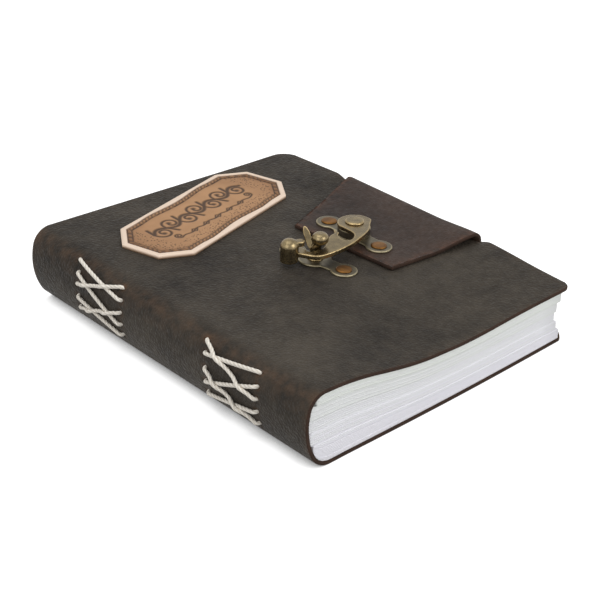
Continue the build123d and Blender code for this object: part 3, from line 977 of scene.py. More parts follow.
@dataclass
class Sewing:
    """Two groups of long stitches that hold the signatures to the spine."""

    shape: BookShape
    thread: float = 1.85
    twist_mm: float = 7.0
    names: tuple = ("sewing_thread_head", "sewing_thread_tail")
    rows: tuple = (
        ((57.0, 55.0, 54.8, 54.8, 55.2), (26.3, 25.0, 25.0, 25.3, 26.0)),
        ((-28.3, -29.5, -30.1, -29.9, -29.1), (-59.9, -60.6, -60.7, -60.6, -59.9)),
    )
    holes: tuple = (
        ((31.9, 27.7, 22.7, 16.8, 11.0), (31.3, 26.7, 21.2, 15.2, 9.6)),
        ((31.2, 26.7, 20.6, 14.1, 7.9), (30.9, 25.9, 20.4, 14.6, 8.1)),
    )
    orders: tuple = ((1, 2, 4, 5, 3, 1), (1, 3, 5, 4, 2, 1))
    buried: tuple = (-3.2, -1.4, 0.1)
    lie: float = 0.46
    hump_height: float = 0.9
    hump_width: float = 0.1
    end_share: float = 0.04
    run_points: int = 24
    run_start: float = 0.03
    step_share: float = 0.25
    core_share: float = 0.44
    core_sides: int = 18
    plies: float = 3.0
    lobe: float = 0.06

    def hole_points(self) -> Array:
        """Frame points of all stitch holes on the spine's outer face.

        Returns:
            Rows of x, y, z.
        """
        points = []
        for pair, heights in zip(self.rows, self.holes):
            for row, column in zip(pair, heights):
                for y, z in zip(row, column):
                    points.append((float(self.shape.spine_x(z, 0)) - self.shape.middle, y, z))
        return np.array(points)

    def stitches(self, group: int) -> list:
        """Stitches of a group in sewing order.

        Args:
            group: number of the group.

        Returns:
            Y and height of both holes of each stitch, and whether it lies over the others.
        """
        order = self.orders[group]
        left, right = [list(zip(*pair)) for pair in zip(self.rows[group], self.holes[group])]
        found = []
        for first, second in zip(order, order[1:]):
            lifted = first % 2 == 1 and second % 2 == 1
            found.append((left[first - 1], right[second - 1], lifted))
        return found

    def route(self, group: int, stitch: tuple) -> Array:
        """Points of one stitch.

        Args:
            group: number of the group of stitches.
            stitch: y and height of its two holes, and whether it lies over the others.

        Returns:
            Frame points from inside the first hole to inside the second.
        """
        (y0, z0), (y1, z1), lifted = stitch
        bend = len(self.buried)
        shown = np.linspace(self.run_start, 1 - self.run_start, self.run_points)
        shares = np.concatenate([np.zeros(bend), shown, np.ones(bend)])
        out = np.full(len(shares), self.lie * self.thread)
        out[:bend] = self.buried
        out[-bend:] = self.buried[::-1]
        for (_, low0), (_, low1), over in self.stitches(group):
            slope = (z1 - z0) - (low1 - low0)
            if lifted and not over and abs(slope) > 1e-6:
                hump = (low0 - z0) / slope
                if self.end_share < hump < 1 - self.end_share:
                    rise = np.exp(-(((shown - hump) / self.hump_width) ** 2))
                    out[bend:-bend] += self.hump_height * self.thread * rise
        climb = self.shape.climb_at(z0 + (z1 - z0) * shares, 0)
        x, z = self.shape.hide_point(climb, -out)
        return np.stack([x - self.shape.middle, y0 + (y1 - y0) * shares, z], -1)

    def cord_tree(self, material: Material) -> Tree:
        """Builds the Geometry Nodes tree that spins a three-ply cord along each run of edges.

        Args:
            material: of the thread.

        Returns:
            The node group, with inputs for the cord's diameter and the length of a twist.
        """
        tree, enter = start_tree("three_ply_cord", "Runs", ("Diameter", "Twist"), "Cord")
        diameter = enter.outputs["Diameter"]
        curve = add_node(tree, "GeometryNodeMeshToCurve", {}, {"Mesh": enter})
        soft = add_node(tree, "GeometryNodeCurveSplineType", {"spline_type": "NURBS"}, {"Curve": curve})
        step = add_node(tree, MATH, TIMES, {0: diameter, 1: self.step_share})
        spaced = {"Curve": soft, "Length": step}
        even = add_node(tree, "GeometryNodeResampleCurve", {"mode": "LENGTH"}, spaced)
        along = add_node(tree, "GeometryNodeSplineParameter").outputs["Length"]
        turns = add_node(tree, MATH, {"operation": "DIVIDE"}, {0: along, 1: enter.outputs["Twist"]})
        angle = add_node(tree, MATH, TIMES, {0: turns, 1: math.tau})
        spun = add_node(tree, "GeometryNodeSetCurveTilt", {}, {"Curve": even, "Tilt": angle})
        radius = add_node(tree, MATH, TIMES, {0: diameter, 1: self.core_share})
        circle = {"Resolution": self.core_sides, "Radius": radius}
        ring = add_node(tree, "GeometryNodeCurvePrimitiveCircle", {}, circle)
        spot = add_node(tree, "GeometryNodeInputPosition")
        parts = add_node(tree, "ShaderNodeSeparateXYZ", {}, {0: spot}).outputs
        around = add_node(tree, MATH, {"operation": "ARCTAN2"}, {0: parts[1], 1: parts[0]})
        lobes = add_node(tree, MATH, TIMES, {0: around, 1: self.plies})
        wave = add_node(tree, MATH, {"operation": "COSINE"}, {0: lobes})
        size = add_node(tree, MATH, TIMES_PLUS, {0: wave, 1: self.lobe, 2: 1.0})
        moved = add_node(tree, "ShaderNodeVectorMath", {"operation": "SCALE"}, {0: spot, "Scale": size})
        # ply is 0 in the valleys between the plies, where the thread's material paints shade.
        ply = add_node(tree, MATH, TIMES_PLUS, {0: wave, 1: 0.5, 2: 0.5})
        layer = {"data_type": "FLOAT", "domain": "POINT"}
        named = {"Geometry": ring, "Name": "ply", "Value": ply}
        marked = add_node(tree, "GeometryNodeStoreNamedAttribute", layer, named)
        lobed = add_node(tree, "GeometryNodeSetPosition", {}, {"Geometry": marked, "Position": moved})
        swept = {"Curve": spun, "Profile Curve": lobed, "Fill Caps": True}
        tube = add_node(tree, "GeometryNodeCurveToMesh", {}, swept)
        end_tree(tree, tube, material)
        return tree

    def build(self, material: Material) -> None:
        """Spins and places both threads.

        Args:
            material: of the thread.
        """
        tree = self.cord_tree(material)
        sizes = {"Diameter": self.thread * MM, "Twist": self.twist_mm * MM}
        for group, name in enumerate(self.names):
            runs = [self.route(group, stitch) for stitch in self.stitches(group)]
            edges = []
            for number, run in enumerate(runs):
                start = number * len(run)
                edges += [(start + k, start + k + 1) for k in range(len(run) - 1)]
            piece = grow(name + "_stitches", np.concatenate(runs), edges, tree, sizes, material)
            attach(piece, Body.BOOK.value)
            stand_for(piece, name)


@dataclass
class CoverHide:
    """The one hide of the book: back cover and spine, and the front cover that folds off them."""

    shape: BookShape
    holes: Array
    join_climb: float = 45.0
    bend_climb: float = 54.0
    bend_over: float = 2.0
    column_step: float = 0.75
    rim_columns: tuple = (0.0035, 0.008)
    panel_step: float = 2.2
    corner_run: float = 9.5
    corner_steps: tuple = (8, 6.6, 5.3, 4.1, 3.1, 2.2, 1.5, 0.9, 0.45, 0.15, 0.0)
    top_step: float = 4.6
    spine_step: float = 1.35
    low_step: float = 5.0
    ripple: float = 0.3
    ripple_mm: float = 27.0
    ripple_seed: float = 3.1
    ripple_drop: float = 0.12
    ripple_from_spine: Ramp = (14.0, 20.0)
    ripple_to_tail: Ramp = (42.0, 30.0)
    curl: float = 1.7
    curl_to_edge: Ramp = (145.3, 2.2)
    curl_to_tail: Ramp = (68.0, 14.0)
    dimple_depth: float = 0.7
    dimple_radius: float = 1.5
    edge_wear: float = 0.4
    edge_wear_mm: float = 1.3
    hole_wear: float = 0.7
    hole_wear_area: float = 3.0
    ridge_wear: float = 0.35
    ridge_x: float = 4.0
    ridge_mm: float = 3.0
    ridge_floor: float = 24.0

    def panel_steps(self, length: float) -> Array:
        """Distances along a panel, closer together towards its rounded corners."""
        wide = even_steps(0, length - self.corner_run, self.panel_step)
        return np.concatenate([wide, length - np.array(self.corner_steps)])

    def spread(self, x: Array, z: Array) -> tuple[Array, Array, Array]:
        """Spreads a section of the hide from tail to head.

        Args:
            x: book x of the section's points.
            z: their heights.

        Returns:
            Frame points by rows and columns, and their book x and frame y.
        """
        low, high = self.shape.y_limits(x)
        columns = edge_steps(*self.rim_columns, self.column_step / self.shape.height)
        y = low[:, None] + (high - low)[:, None] * columns
        x, z = [np.repeat(line[:, None], len(columns), 1) for line in (x, z)]
        return np.stack([x - self.shape.middle, y, z], -1), x, y

    def front_face(self) -> Array:
        """Grain side of the front cover and of the shoulder that it folds on.

        Returns:
            Frame points by rows and columns.
        """
        shape = self.shape
        fold_x, fold_z = shape.hide_point(even_steps(self.join_climb, shape.top_climb, self.top_step), 0)
        run = self.panel_steps((shape.width - fold_x[-1]) / math.cos(shape.tilt))[1:]
        x = np.concatenate([fold_x, fold_x[-1] + run * math.cos(shape.tilt)])
        z = np.concatenate([fold_z, fold_z[-1] - run * math.sin(shape.tilt)])
        points, x, y = self.spread(x, z)
        free = ramp(-y, *self.ripple_to_tail) * ramp(x, *self.ripple_from_spine)
        lift = shape.edge_lift(x, y)
        points[..., 2] += shape.panel_sag(x, y) + lift
        wave = self.ripple * grain_noise(points, self.ripple_mm, self.ripple_seed) - self.ripple_drop
        points[..., 2] += free * wave
        corner = ramp(x, *shape.lift_to_edge) * share(-y, *shape.spread_to_tail)
        points[..., 0] += shape.fore_bow * lift / shape.fore_lift
        points[..., 0] += shape.corner_spread * corner
        points[..., 1] -= shape.bow(x, y)
        return points

    def back_face(self) -> Array:
        """Grain side of the back cover and the spine, pulled in at the stitch holes.

        Returns:
            Frame points by rows and columns.
        """
        shape = self.shape
        back_x = shape.low_x + self.panel_steps(shape.width - shape.low_x)[::-1]
        joins = (-90, shape.low_join, shape.top_join, self.join_climb)
        steps = (self.low_step, self.spine_step, self.top_step)
        arcs = [even_steps(*span)[1:] for span in zip(joins, joins[1:], steps)]
        climb = np.concatenate(arcs)
        spine_x, spine_z = shape.hide_point(climb, 0)
        x = np.concatenate([back_x, spine_x])
        z = np.concatenate([np.zeros(len(back_x)), spine_z])
        points, x, y = self.spread(x, z)
        points[..., 2] += self.curl * ramp(x, *self.curl_to_edge) * ramp(-y, *self.curl_to_tail)
        points[..., 1] -= shape.bow(x, y)
        reach = nearest(points.reshape(-1, 3), self.holes).reshape(x.shape)
        sunk = self.dimple_depth * np.exp(-((reach / self.dimple_radius) ** 2))
        turn = np.radians(np.concatenate([np.full(len(back_x), -90.0), climb]))[:, None]
        points[..., 0] += np.cos(turn) * sunk
        points[..., 2] -= np.sin(turn) * sunk
        return points

    def wear(self, piece: Piece, margin: Array) -> None:
        """Marks where the hide is rubbed brown: along its edges, round the holes, on the shoulder.

        Args:
            piece: the object.
            margin: distance of its points from the cut edges.
        """
        place = points_of(piece)
        from_ridge = (place[:, 0] + self.shape.middle - self.ridge_x) / self.ridge_mm
        ridge = np.exp(-(from_ridge**2)) * (place[:, 2] > self.ridge_floor)
        worn = self.edge_wear * np.exp(-margin / self.edge_wear_mm)
        worn += self.hole_wear * np.exp(-(nearest(place, self.holes) ** 2) / self.hole_wear_area)
        worn += self.ridge_wear * ridge
        paint(piece, "wear", np.clip(worn, 0, 1))

    def build(self, finishes: list) -> None:
        """Makes and places the two pieces of the hide.

        Args:
            finishes: materials of the grain side, the cut edge and the flesh side.
        """
        shape = self.shape
        edges = SheetEdges(last_row=False)
        face = self.back_face()
        back, margin = leather_sheet("spine_and_back_hide", face, shape.leather, edges, finishes)
        self.wear(back, margin)
        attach(back, Body.BOOK.value)
        stand_for(back, "spine_and_back_leather")
        edges = SheetEdges(first_row=False)
        face = self.front_face()
        front, margin = leather_sheet("front_cover_hide", face, shape.leather, edges, finishes)
        self.wear(front, margin)
        start_x, start_z = shape.hide_point(self.bend_climb, 0)
        end_x, end_z = shape.tangent
        start = Vector((start_x - shape.middle, 0, start_z)) * MM
        end = Vector((end_x - shape.middle + self.bend_over, 0, end_z)) * MM
        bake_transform(front, Body.BOOK.value, Body.COVER.value, start=start, end=end)
        stand_for(front, "front_cover_leather")


@dataclass
class TextBlock:
    """Five signatures, each a nest of folded leaves."""

    shape: BookShape
    signatures: int = 5
    folds: int = 7
    square: float = 1.5
    tail_square: float = 0.5
    recess: tuple = (0.0, 0.4, 0.9, 0.2, 0.0)
    leaf_gap: float = 0.2
    leaf_share: float = 0.008
    fold_low: float = 8.5
    fold_high: float = 31.0
    fold_root: float = 4.9
    fold_round: float = 1.2
    fold_nest: float = 0.8
    fold_blunt: float = 0.35
    spine_gap: float = 0.05
    setback: float = 2.4
    hollow: float = 3.6
    creep: float = 0.25
    spring: float = 0.6
    run_points: int = 20
    fold_points: int = 9
    stations: int = 22
    end_step: float = 1.0
    seed: int = 11
    cut_jitter: float = 0.12
    tone_jitter: float = 0.2

    @property
    def pitch(self) -> float:
        """Distance between the folds of two signatures."""
        return (self.fold_high - self.fold_low) / (self.signatures - 1)

    def leaf_line(self, level: int, x: Array) -> Array:
        """Boundary between signatures.

        Args:
            level: count of the signatures that lie below it.
            x: book x.

        Returns:
            Heights.
        """
        depth = self.shape.paper_depth
        if level == 0:
            return self.shape.floor_z(x, depth)
        if level == self.signatures:
            return self.shape.front_z(x, depth)
        top = float(self.shape.front_z(self.shape.width, depth))
        far = depth + (top - depth) * level / self.signatures
        near = self.fold_low + (level - 0.5) * self.pitch
        return near + (far - near) * (x - self.fold_root) / (self.shape.width - self.fold_root)

    def section(self, number: int, nest: float, edge: float) -> tuple[Array, Array]:
        """One side of a leaf in a signature.

        Args:
            number: of the signature, from the top.
            nest: 0 at the middle of the signature, 1 at its outside.
            edge: book x of the leaf's fore-edge.

        Returns:
            Book x and z from the upper fore-edge round the fold to the lower one.
        """
        depth = self.shape.paper_depth
        below = self.signatures - 1 - number
        gap_low = 0 if below == 0 else self.leaf_gap / 2
        gap_high = 0 if number == 0 else self.leaf_gap / 2
        crest = float(self.shape.spine_x(self.fold_high - number * self.pitch, depth))
        turn_x = crest + self.fold_round
        tip = crest + (1 - nest) * self.fold_round * self.fold_nest
        run = turn_x + (edge - turn_x) * np.linspace(1, 0, self.run_points) ** 2
        turn = np.radians(np.linspace(90, -90, self.fold_points + 2))[1:-1]
        fold = turn_x - (turn_x - tip) * np.cos(turn) ** self.fold_blunt
        x = np.concatenate([run, fold, run[::-1]])
        flat = np.ones(self.run_points)
        side = np.concatenate([flat, np.sin(turn), -flat])
        base = np.maximum(x, turn_x)
        low = self.leaf_line(below, base) + gap_low
        high = self.leaf_line(below + 1, base) - gap_high
        z = (low + high) / 2 + side * nest * (high - low) / 2
        return np.maximum(x, self.shape.spine_x(z, depth) + self.spine_gap), z

    def soften(self, points: Array) -> Array:
        """Lets the leaves follow the sinking and springing cover.

        Args:
            points: frame points of a leaf.

        Returns:
            The moved points.
        """
        x = points[..., 0] + self.shape.middle
        y = points[..., 1]
        depth = self.shape.paper_depth
        level = share(points[..., 2], depth, self.shape.front_z(x, depth) - depth)
        spring = self.spring * level**3 * self.shape.edge_lift(x, y)
        moved = points.copy()
        moved[..., 2] += level * (self.shape.panel_sag(x, y) + spring)
        moved[..., 1] -= self.shape.bow(x, y)
        return moved

    def leaf(self, number: int, fold: int, shift: Array) -> Array:
        """Points of one folded leaf.

        Args:
            number: of the signature, from the top.
            fold: of the leaf, from the middle of the signature.
            shift: small errors of the cut at the fore-edge, the head and the tail.

        Returns:
            Frame points by stations from tail to head and by the way round the leaf.
        """
        half = self.shape.height / 2
        hollow = self.hollow * math.sin(math.pi * (number + 0.5) / self.signatures)
        edge = self.shape.width - self.setback - hollow - self.creep * fold / self.folds + shift[0]
        head = half - self.square + shift[1]
        tail = half - self.tail_square - self.recess[number] + shift[2]
        outer_x, outer_z = self.section(number, (fold + 1 - self.leaf_share) / self.folds, edge)
        inner_x, inner_z = self.section(number, (fold + self.leaf_share) / self.folds, edge)
        x = np.concatenate([outer_x, inner_x[::-1]]) - self.shape.middle
        z = np.concatenate([outer_z, inner_z[::-1]])
        inside = np.linspace(-tail + self.end_step, head - self.end_step, self.stations)
        y = np.concatenate([[-tail], inside, [head]])
        return self.soften(np.stack(np.broadcast_arrays(x, y[:, None], z), -1))

    def build(self, material: Material) -> None:
        """Makes and places the five signatures.

        Args:
            material: of the paper.
        """
        draw = np.random.default_rng(self.seed)
        for number in range(self.signatures):
            points = []
            faces = []
            tones = []
            for fold in range(self.folds):
                shift = draw.uniform(-self.cut_jitter, self.cut_jitter, 3)
                leaf = self.leaf(number, fold, shift)
                stations, sides, _ = leaf.shape
                first = fold * stations * sides
                last = first + (stations - 1) * sides
                points.append(leaf.reshape(-1, 3))
                tone = 1 - number / (self.signatures - 1) + draw.uniform(-self.tone_jitter, self.tone_jitter)
                tones.append(np.full(stations * sides, min(max(tone, 0), 1)))
                faces += tube_faces(stations, sides, first)
                for k in range(sides // 2 - 1):
                    quad = [k, k + 1, sides - 2 - k, sides - 1 - k]
                    faces.append([first + p for p in reversed(quad)])
                    faces.append([last + p for p in quad])
            piece = new_piece(f"signature_{number + 1}_leaves", np.concatenate(points), faces, [material])
            paint(piece, "leaf", np.concatenate(tones))
            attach(piece, Body.BOOK.value)
            stand_for(piece, f"signature_{number + 1}")


@dataclass
class FlapStrip:
    """The tongue of leather that wraps the fore-edge and carries the clasp."""

    shape: BookShape
    tail_edge: float = -35.0
    head_edge: float = 43.5
    tip_head: float = 21.0
    tip: float = 92.9
    tip_skew: float = 4.6
    corner_ease: float = 0.4
    gap: float = 0.3
    stand: float = 2.2
    tail_flare: float = 2.4
    head_flare: float = -0.6
    tail_curl: float = 1.1
    curl_to_tail: Ramp = (12.0, 24.0)
    curl_up: Ramp = (8.0, 12.0)
    foot_round: float = 1.6
    head_round: float = 4.4
    lift: float = 1.5
    lift_run: float = 26.0
    bulge: float = 0.6
    foot_rows: int = 8
    wall_rows: int = 15
    head_rows: int = 11
    split_row: int = 15
    panel_part: float = 0.93
    panel_step: float = 0.03
    tip_parts: tuple = (0.95, 0.97, 0.985, 0.994, 1.0)
    column_steps: tuple = (0.006, 0.02, 0.011)
    foot_bend: tuple = (-0.2, 0.4)
    wall_bend: tuple = (1.8, 5.0)
    edge_wear: float = 0.9
    edge_wear_mm: float = 1.6

    def centre_line(self) -> tuple[Array, Array]:
        """Middle of the leather from its foot up the fore-edge and over the head fold.

        Returns:
            Book x and z of the line.
        """
        shape = self.shape
        x = shape.width + self.stand
        turn = np.radians(np.linspace(-90, 0, self.foot_rows))
        foot_x = x - self.foot_round + self.foot_round * np.cos(turn)
        foot_z = shape.leather / 2 + self.foot_round + self.foot_round * np.sin(turn)
        tangent_x, tangent_z = shape.tangent
        reach = math.pi / 2 - shape.tilt
        end_x = x - self.head_round + self.head_round * math.cos(reach)
        height = self.gap + shape.leather / 2 + self.lift
        end_z = tangent_z + (height - (end_x - tangent_x) * math.sin(shape.tilt)) / math.cos(shape.tilt)
        top_z = end_z - self.head_round * math.sin(reach)
        wall_z = np.linspace(foot_z[-1], top_z, self.wall_rows + 1)[1:]
        wall_x = x + self.bulge * np.sin(math.pi * share(wall_z, foot_z[-1], top_z - foot_z[-1]))
        turn = np.linspace(0, reach, self.head_rows + 1)[1:]
        head_x = x - self.head_round + self.head_round * np.cos(turn)
        head_z = top_z + self.head_round * np.sin(turn)
        return np.concatenate([foot_x, wall_x, head_x]), np.concatenate([foot_z, wall_z, head_z])

    def face(self) -> Array:
        """Grain side of the strip, from its foot to its tip.

        Returns:
            Frame points by rows and columns.
        """
        shape = self.shape
        line_x, line_z = self.centre_line()
        step_x = np.gradient(line_x)
        step_z = np.gradient(line_z)
        half = shape.leather / 2 / np.hypot(step_x, step_z)
        across = edge_steps(*self.column_steps)
        root_tail = self.tail_edge - self.tail_flare
        root_head = self.head_edge + self.head_flare
        y = root_tail + (root_head - root_tail) * across
        rows = []
        for x, z in zip(line_x + step_z * half - shape.middle, line_z - step_x * half):
            rows.append(np.stack(np.broadcast_arrays(x, y, z), -1))
        tangent_x, _ = shape.tangent
        root = tangent_x + (line_x[-1] - tangent_x) / math.cos(shape.tilt)
        panel = even_steps(0, self.panel_part, self.panel_step)[1:]
        for part in np.concatenate([panel, self.tip_parts]):
            head = root_head + (self.tip_head - root_head) * part
            tail = self.tail_edge - self.tail_flare * (1 - part)
            y = tail + (head - tail) * across
            tip = self.tip + self.tip_skew * (self.tip_head - y) / (self.tip_head - self.tail_edge)
            u = root + (tip - root) * part
            lift = self.lift * (1 - ramp(root - u, 0, self.lift_run))
            rows.append(shape.cover_point(u, y, self.gap + shape.leather + lift))
        points = np.array(rows)
        x, y, z = np.moveaxis(points, -1, 0)
        near_fold = ramp(x + shape.middle, shape.width - self.lift_run, self.lift_run)
        curl = ramp(-y, *self.curl_to_tail) * near_fold * ramp(z, *self.curl_up)
        points[..., 2] += self.tail_curl * curl
        for j in (0, -1):
            points[-1, j] += self.corner_ease * (points[-2, j] - points[-1, j])
        return points

    def build(self, finishes: list) -> None:
        """Makes and places the lower and upper pieces of the strip.

        Args:
            finishes: materials of the grain side, the cut edge and the flesh side.
        """
        shape = self.shape
        face = self.face()
        parts = (
            ("fore_edge_strap_hide", face[: self.split_row + 1], SheetEdges(last_row=False)),
            ("flap_hide", face[self.split_row :], SheetEdges(first_row=False)),
        )
        pieces = []
        for name, part, edges in parts:
            piece, margin = leather_sheet(name, part[:, ::-1], shape.leather, edges, finishes)
            worn = self.edge_wear * np.exp(-margin / self.edge_wear_mm)
            paint(piece, "wear", np.clip(worn, 0, 1))
            pieces.append(piece)
        lower, upper = pieces
        x = shape.width - shape.middle
        foot = Vector((x + self.foot_bend[0], 0, self.foot_bend[1])) * MM
        wall = Vector((x + self.wall_bend[0], 0, self.wall_bend[1])) * MM
        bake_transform(lower, Body.BOOK.value, Body.STRAP.value, start=foot, end=wall)
        stand_for(lower, "fore_edge_strap")
        wall_end = self.foot_rows + self.wall_rows - 1
        fold_start = face[wall_end, 0]
        fold_end = face[wall_end + self.head_rows + 2, 0]
        start = Vector((fold_start[0], 0, fold_start[2])) * MM
        end = Vector((fold_end[0], 0, fold_end[2])) * MM
        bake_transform(upper, Body.STRAP.value, Body.FLAP.value, start=start, end=end)
        stand_for(upper, "flap_leather")


@dataclass
class TitleLabel:
    """A chamfered leather tag with a tooled and stained middle."""

    shape: BookShape
    length: float = 97.0
    width: float = 39.0
    thickness: float = 1.8
    cut_length: float = 12.0
    cut_width: float = 10.0
    centre: tuple = (70.8, 55.8)
    turn: float = 16.5
    rim: float = 2.4
    rim_wave: float = 0.7
    rim_wave_mm: float = 44.0
    rim_wave_fade: Ramp = (-30.0, 12.0)
    rim_round: float = 0.35
    rim_round_mm: float = 0.7
    depth: float = 0.3
    step: float = 0.5
    rope_pitch: float = 2.4
    rope_width: float = 1.8
    rope_rise: float = 0.25
    rope_slant: float = 0.35
    rope_side: float = 0.3
    groove_at: float = 1.25
    groove_width: float = 0.3
    carve_depth: float = 0.22
    tool_dark: float = 0.9
    hatch_dark: float = 0.7
    shade_dark: float = 0.3
    shade_mm: float = 2.2
    shade_to_end: Ramp = (22.0, 22.0)
    punched_to_tail: Ramp = (8.6, 1.2)
    punched_to_end: Ramp = (33.5, 2.0)
    punched_inside: float = 1.4
    long_steps: tuple = (0.00125, 0.005, 0.00375)
    cross_steps: tuple = (0.003, 0.01, 0.009)

    def half_width(self, a: Array) -> Array:
        """Half of the tag's width at a distance along it from its middle."""
        over = share(np.abs(a), self.length / 2 - self.cut_length, self.cut_length)
        return self.width / 2 - self.cut_width * over

    def edge_distance(self, a: Array, b: Array) -> Array:
        """Distance inwards from the tag's outline.

        Args:
            a: distance along the tag from its middle.
            b: distance across it.

        Returns:
            Distances from the nearest side, end or chamfer.
        """
        side = self.width / 2 - np.abs(b)
        end = self.length / 2 - np.abs(a)
        slant = math.hypot(self.cut_length, self.cut_width)
        corner = (end * self.cut_width + side * self.cut_length - self.cut_length * self.cut_width) / slant
        return np.minimum(np.minimum(side, end), corner)

    def vine(self) -> list:
        """Lines of a running vine scroll: a wavy stem, with a curl, a bud and a leaf at each bend.

        Returns:
            Pairs of a line's points and half of its width.
        """
        curls = 7
        pitch = 9.4
        end = curls * pitch / 2
        stem_b = 3.9
        sway = 2.4
        offset = 1.5
        turns = 1.2
        stem, curled, bud, leaf = (1.0, 0.72, 1.3, 0.9)
        t = np.linspace(-end, end, 340)
        fade = ramp(-np.abs(t), -end - 1.1, 3)
        wave = sway * np.sin(math.pi * (t + end) / pitch) * fade
        lines = [(np.stack([t, stem_b + wave], -1), stem)]
        for k in range(curls):
            side = 1 if k % 2 == 0 else -1
            middle = np.array([-end + pitch * (k + 0.5), stem_b - side * offset])
            way = np.linspace(0, 1, 70)
            angle = math.atan2(side * offset, -pitch / 2) + side * turns * math.tau * way
            radius = 5.0 - 4.0 * way**0.8
            curl = middle + radius[:, None] * np.stack([np.cos(angle), np.sin(angle)], -1)
            lines.append((curl, curled))
            lines.append((curl[-1:], bud))
            stalk = np.linspace(0, 1, 16)[:, None] * np.array([1.5, side * 5.2])
            lines.append((np.array([-end + pitch * k, stem_b]) + stalk, leaf))
        return lines

    def divider(self) -> list:
        """Lines of a divider: a wave with lozenges on it and a scroll at both ends.

        Returns:
            Pairs of a line's points and half of its width.
        """
        end = 27.0
        line_b = -6.8
        wave = 0.5
        half_wave = 4.5
        long_half, short_half = (2.0, 1.3)
        scroll = 2.1
        line_half, lozenge_half = (0.5, 0.4)
        t = np.linspace(-end, end, 220)
        lines = [(np.stack([t, line_b + wave * np.sin(math.pi * t / half_wave)], -1), line_half)]
        for middle in np.linspace(-18, 18, 5):
            turn = np.linspace(0, math.tau, 5)
            corners = np.stack([middle + long_half * np.cos(turn), line_b + short_half * np.sin(turn)], -1)
            for first, second in zip(corners, corners[1:]):
                way = np.linspace(0, 1, 10)[:, None]
                lines.append((first + (second - first) * way, lozenge_half))
        for side in (-1, 1):
            turn = np.linspace(0, 3 * math.pi, 70)
            radius = scroll * (1 - turn / (3.8 * math.pi))
            a = side * (end + radius * np.sin(turn))
            lines.append((np.stack([a, line_b + scroll - radius * np.cos(turn)], -1), line_half))
        return lines

    def tooling(self, a: Array, b: Array) -> tuple[Array, dict]:
        """Relief and tints of the tag's face.

        Args:
            a: distance along the tag from its middle.
            b: distance across it.

        Returns:
            Heights above the cover, and the values of each attribute that the material reads.
        """
        along = np.abs(a)
        inset = self.edge_distance(a, b)
        wave = np.cos(math.tau * a / self.rim_wave_mm) * ramp(-along, *self.rim_wave_fade)
        wavy = self.rim + self.rim_wave * wave
        panel = ramp(inset - wavy, -self.step / 2, self.step)
        from_rope = inset - wavy - self.step - self.rope_width / 2
        across = from_rope / (self.rope_width / 2)
        around = np.where(along > self.length / 2 - self.cut_length, b, a) * np.sign(b)
        twist = np.cos(math.tau * (around / self.rope_pitch + self.rope_slant * across))
        rope = ramp(1 - np.abs(across), 0, self.rope_side) * (0.5 + 0.5 * twist)
        from_groove = (np.abs(across) - self.groove_at) / self.groove_width
        groove = np.exp(-(from_groove**2)) * (inset > wavy)
        spots = np.stack([a, b], -1).reshape(-1, 2)
        lines = self.vine() + self.divider()
        gap = np.min([nearest(spots, line) / half for line, half in lines], 0).reshape(a.shape)
        carved = np.exp(-(gap**4))
        height = self.thickness - self.depth * panel + self.rope_rise * rope * panel
        height -= self.carve_depth * np.maximum(groove, carved)
        height -= self.rim_round * (1 - ramp(inset, 0, self.rim_round_mm))
        shade = ramp(along, *self.shade_to_end) + np.exp(-((from_rope / self.shade_mm) ** 2))
        hatch = self.hatch_dark * (1 - rope) * (np.abs(across) < 1)
        band = np.maximum(ramp(-b, *self.punched_to_tail), ramp(along, *self.punched_to_end))
        tints = {
            "panel": panel,
            "shade": np.clip(self.shade_dark * shade, 0, 1) * panel,
            "tool": np.clip(self.tool_dark * np.maximum(carved, groove) + hatch, 0, 1) * panel,
            "stipple": band * panel * (across > self.punched_inside),
        }
        return height, tints

    def build(self, material: Material) -> None:
        """Makes and places the tag.

        Args:
            material: of the tag.
        """
        a_line = (edge_steps(*self.long_steps) - 0.5) * self.length
        b_line = 2 * edge_steps(*self.cross_steps) - 1
        a = np.repeat(a_line[:, None], len(b_line), 1)
        b = b_line * self.half_width(a_line)[:, None]
        height, tints = self.tooling(a, b)
        turn = math.radians(self.turn)
        u = self.centre[0] + a * math.cos(turn) - b * math.sin(turn)
        v = self.centre[1] + a * math.sin(turn) + b * math.cos(turn)
        top = self.shape.cover_point(u, v, height).reshape(-1, 3)
        low = self.shape.cover_point(u, v, 0.0).reshape(-1, 3)
        rows, columns = a.shape
        i, j = rim_loop(rows, columns)
        rim = i * columns + j
        ahead = np.roll(rim, -1)
        faces = grid_faces(rows, columns)
        faces += np.stack([rim, rim + len(top), ahead + len(top), ahead], 1).tolist()
        faces += [quad[::-1] for quad in grid_faces(rows, columns, len(top))]
        piece = new_piece("title_label_tooled", np.concatenate([top, low]), faces, [material])
        under = {"panel": 1.0, "shade": 0.4, "tool": 0.0, "stipple": 0.0}
        for name, values in tints.items():
            paint(piece, name, np.concatenate([values.ravel(), np.full(len(low), under[name])]))
        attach(piece, Body.COVER.value)
        stand_for(piece, "title_label")


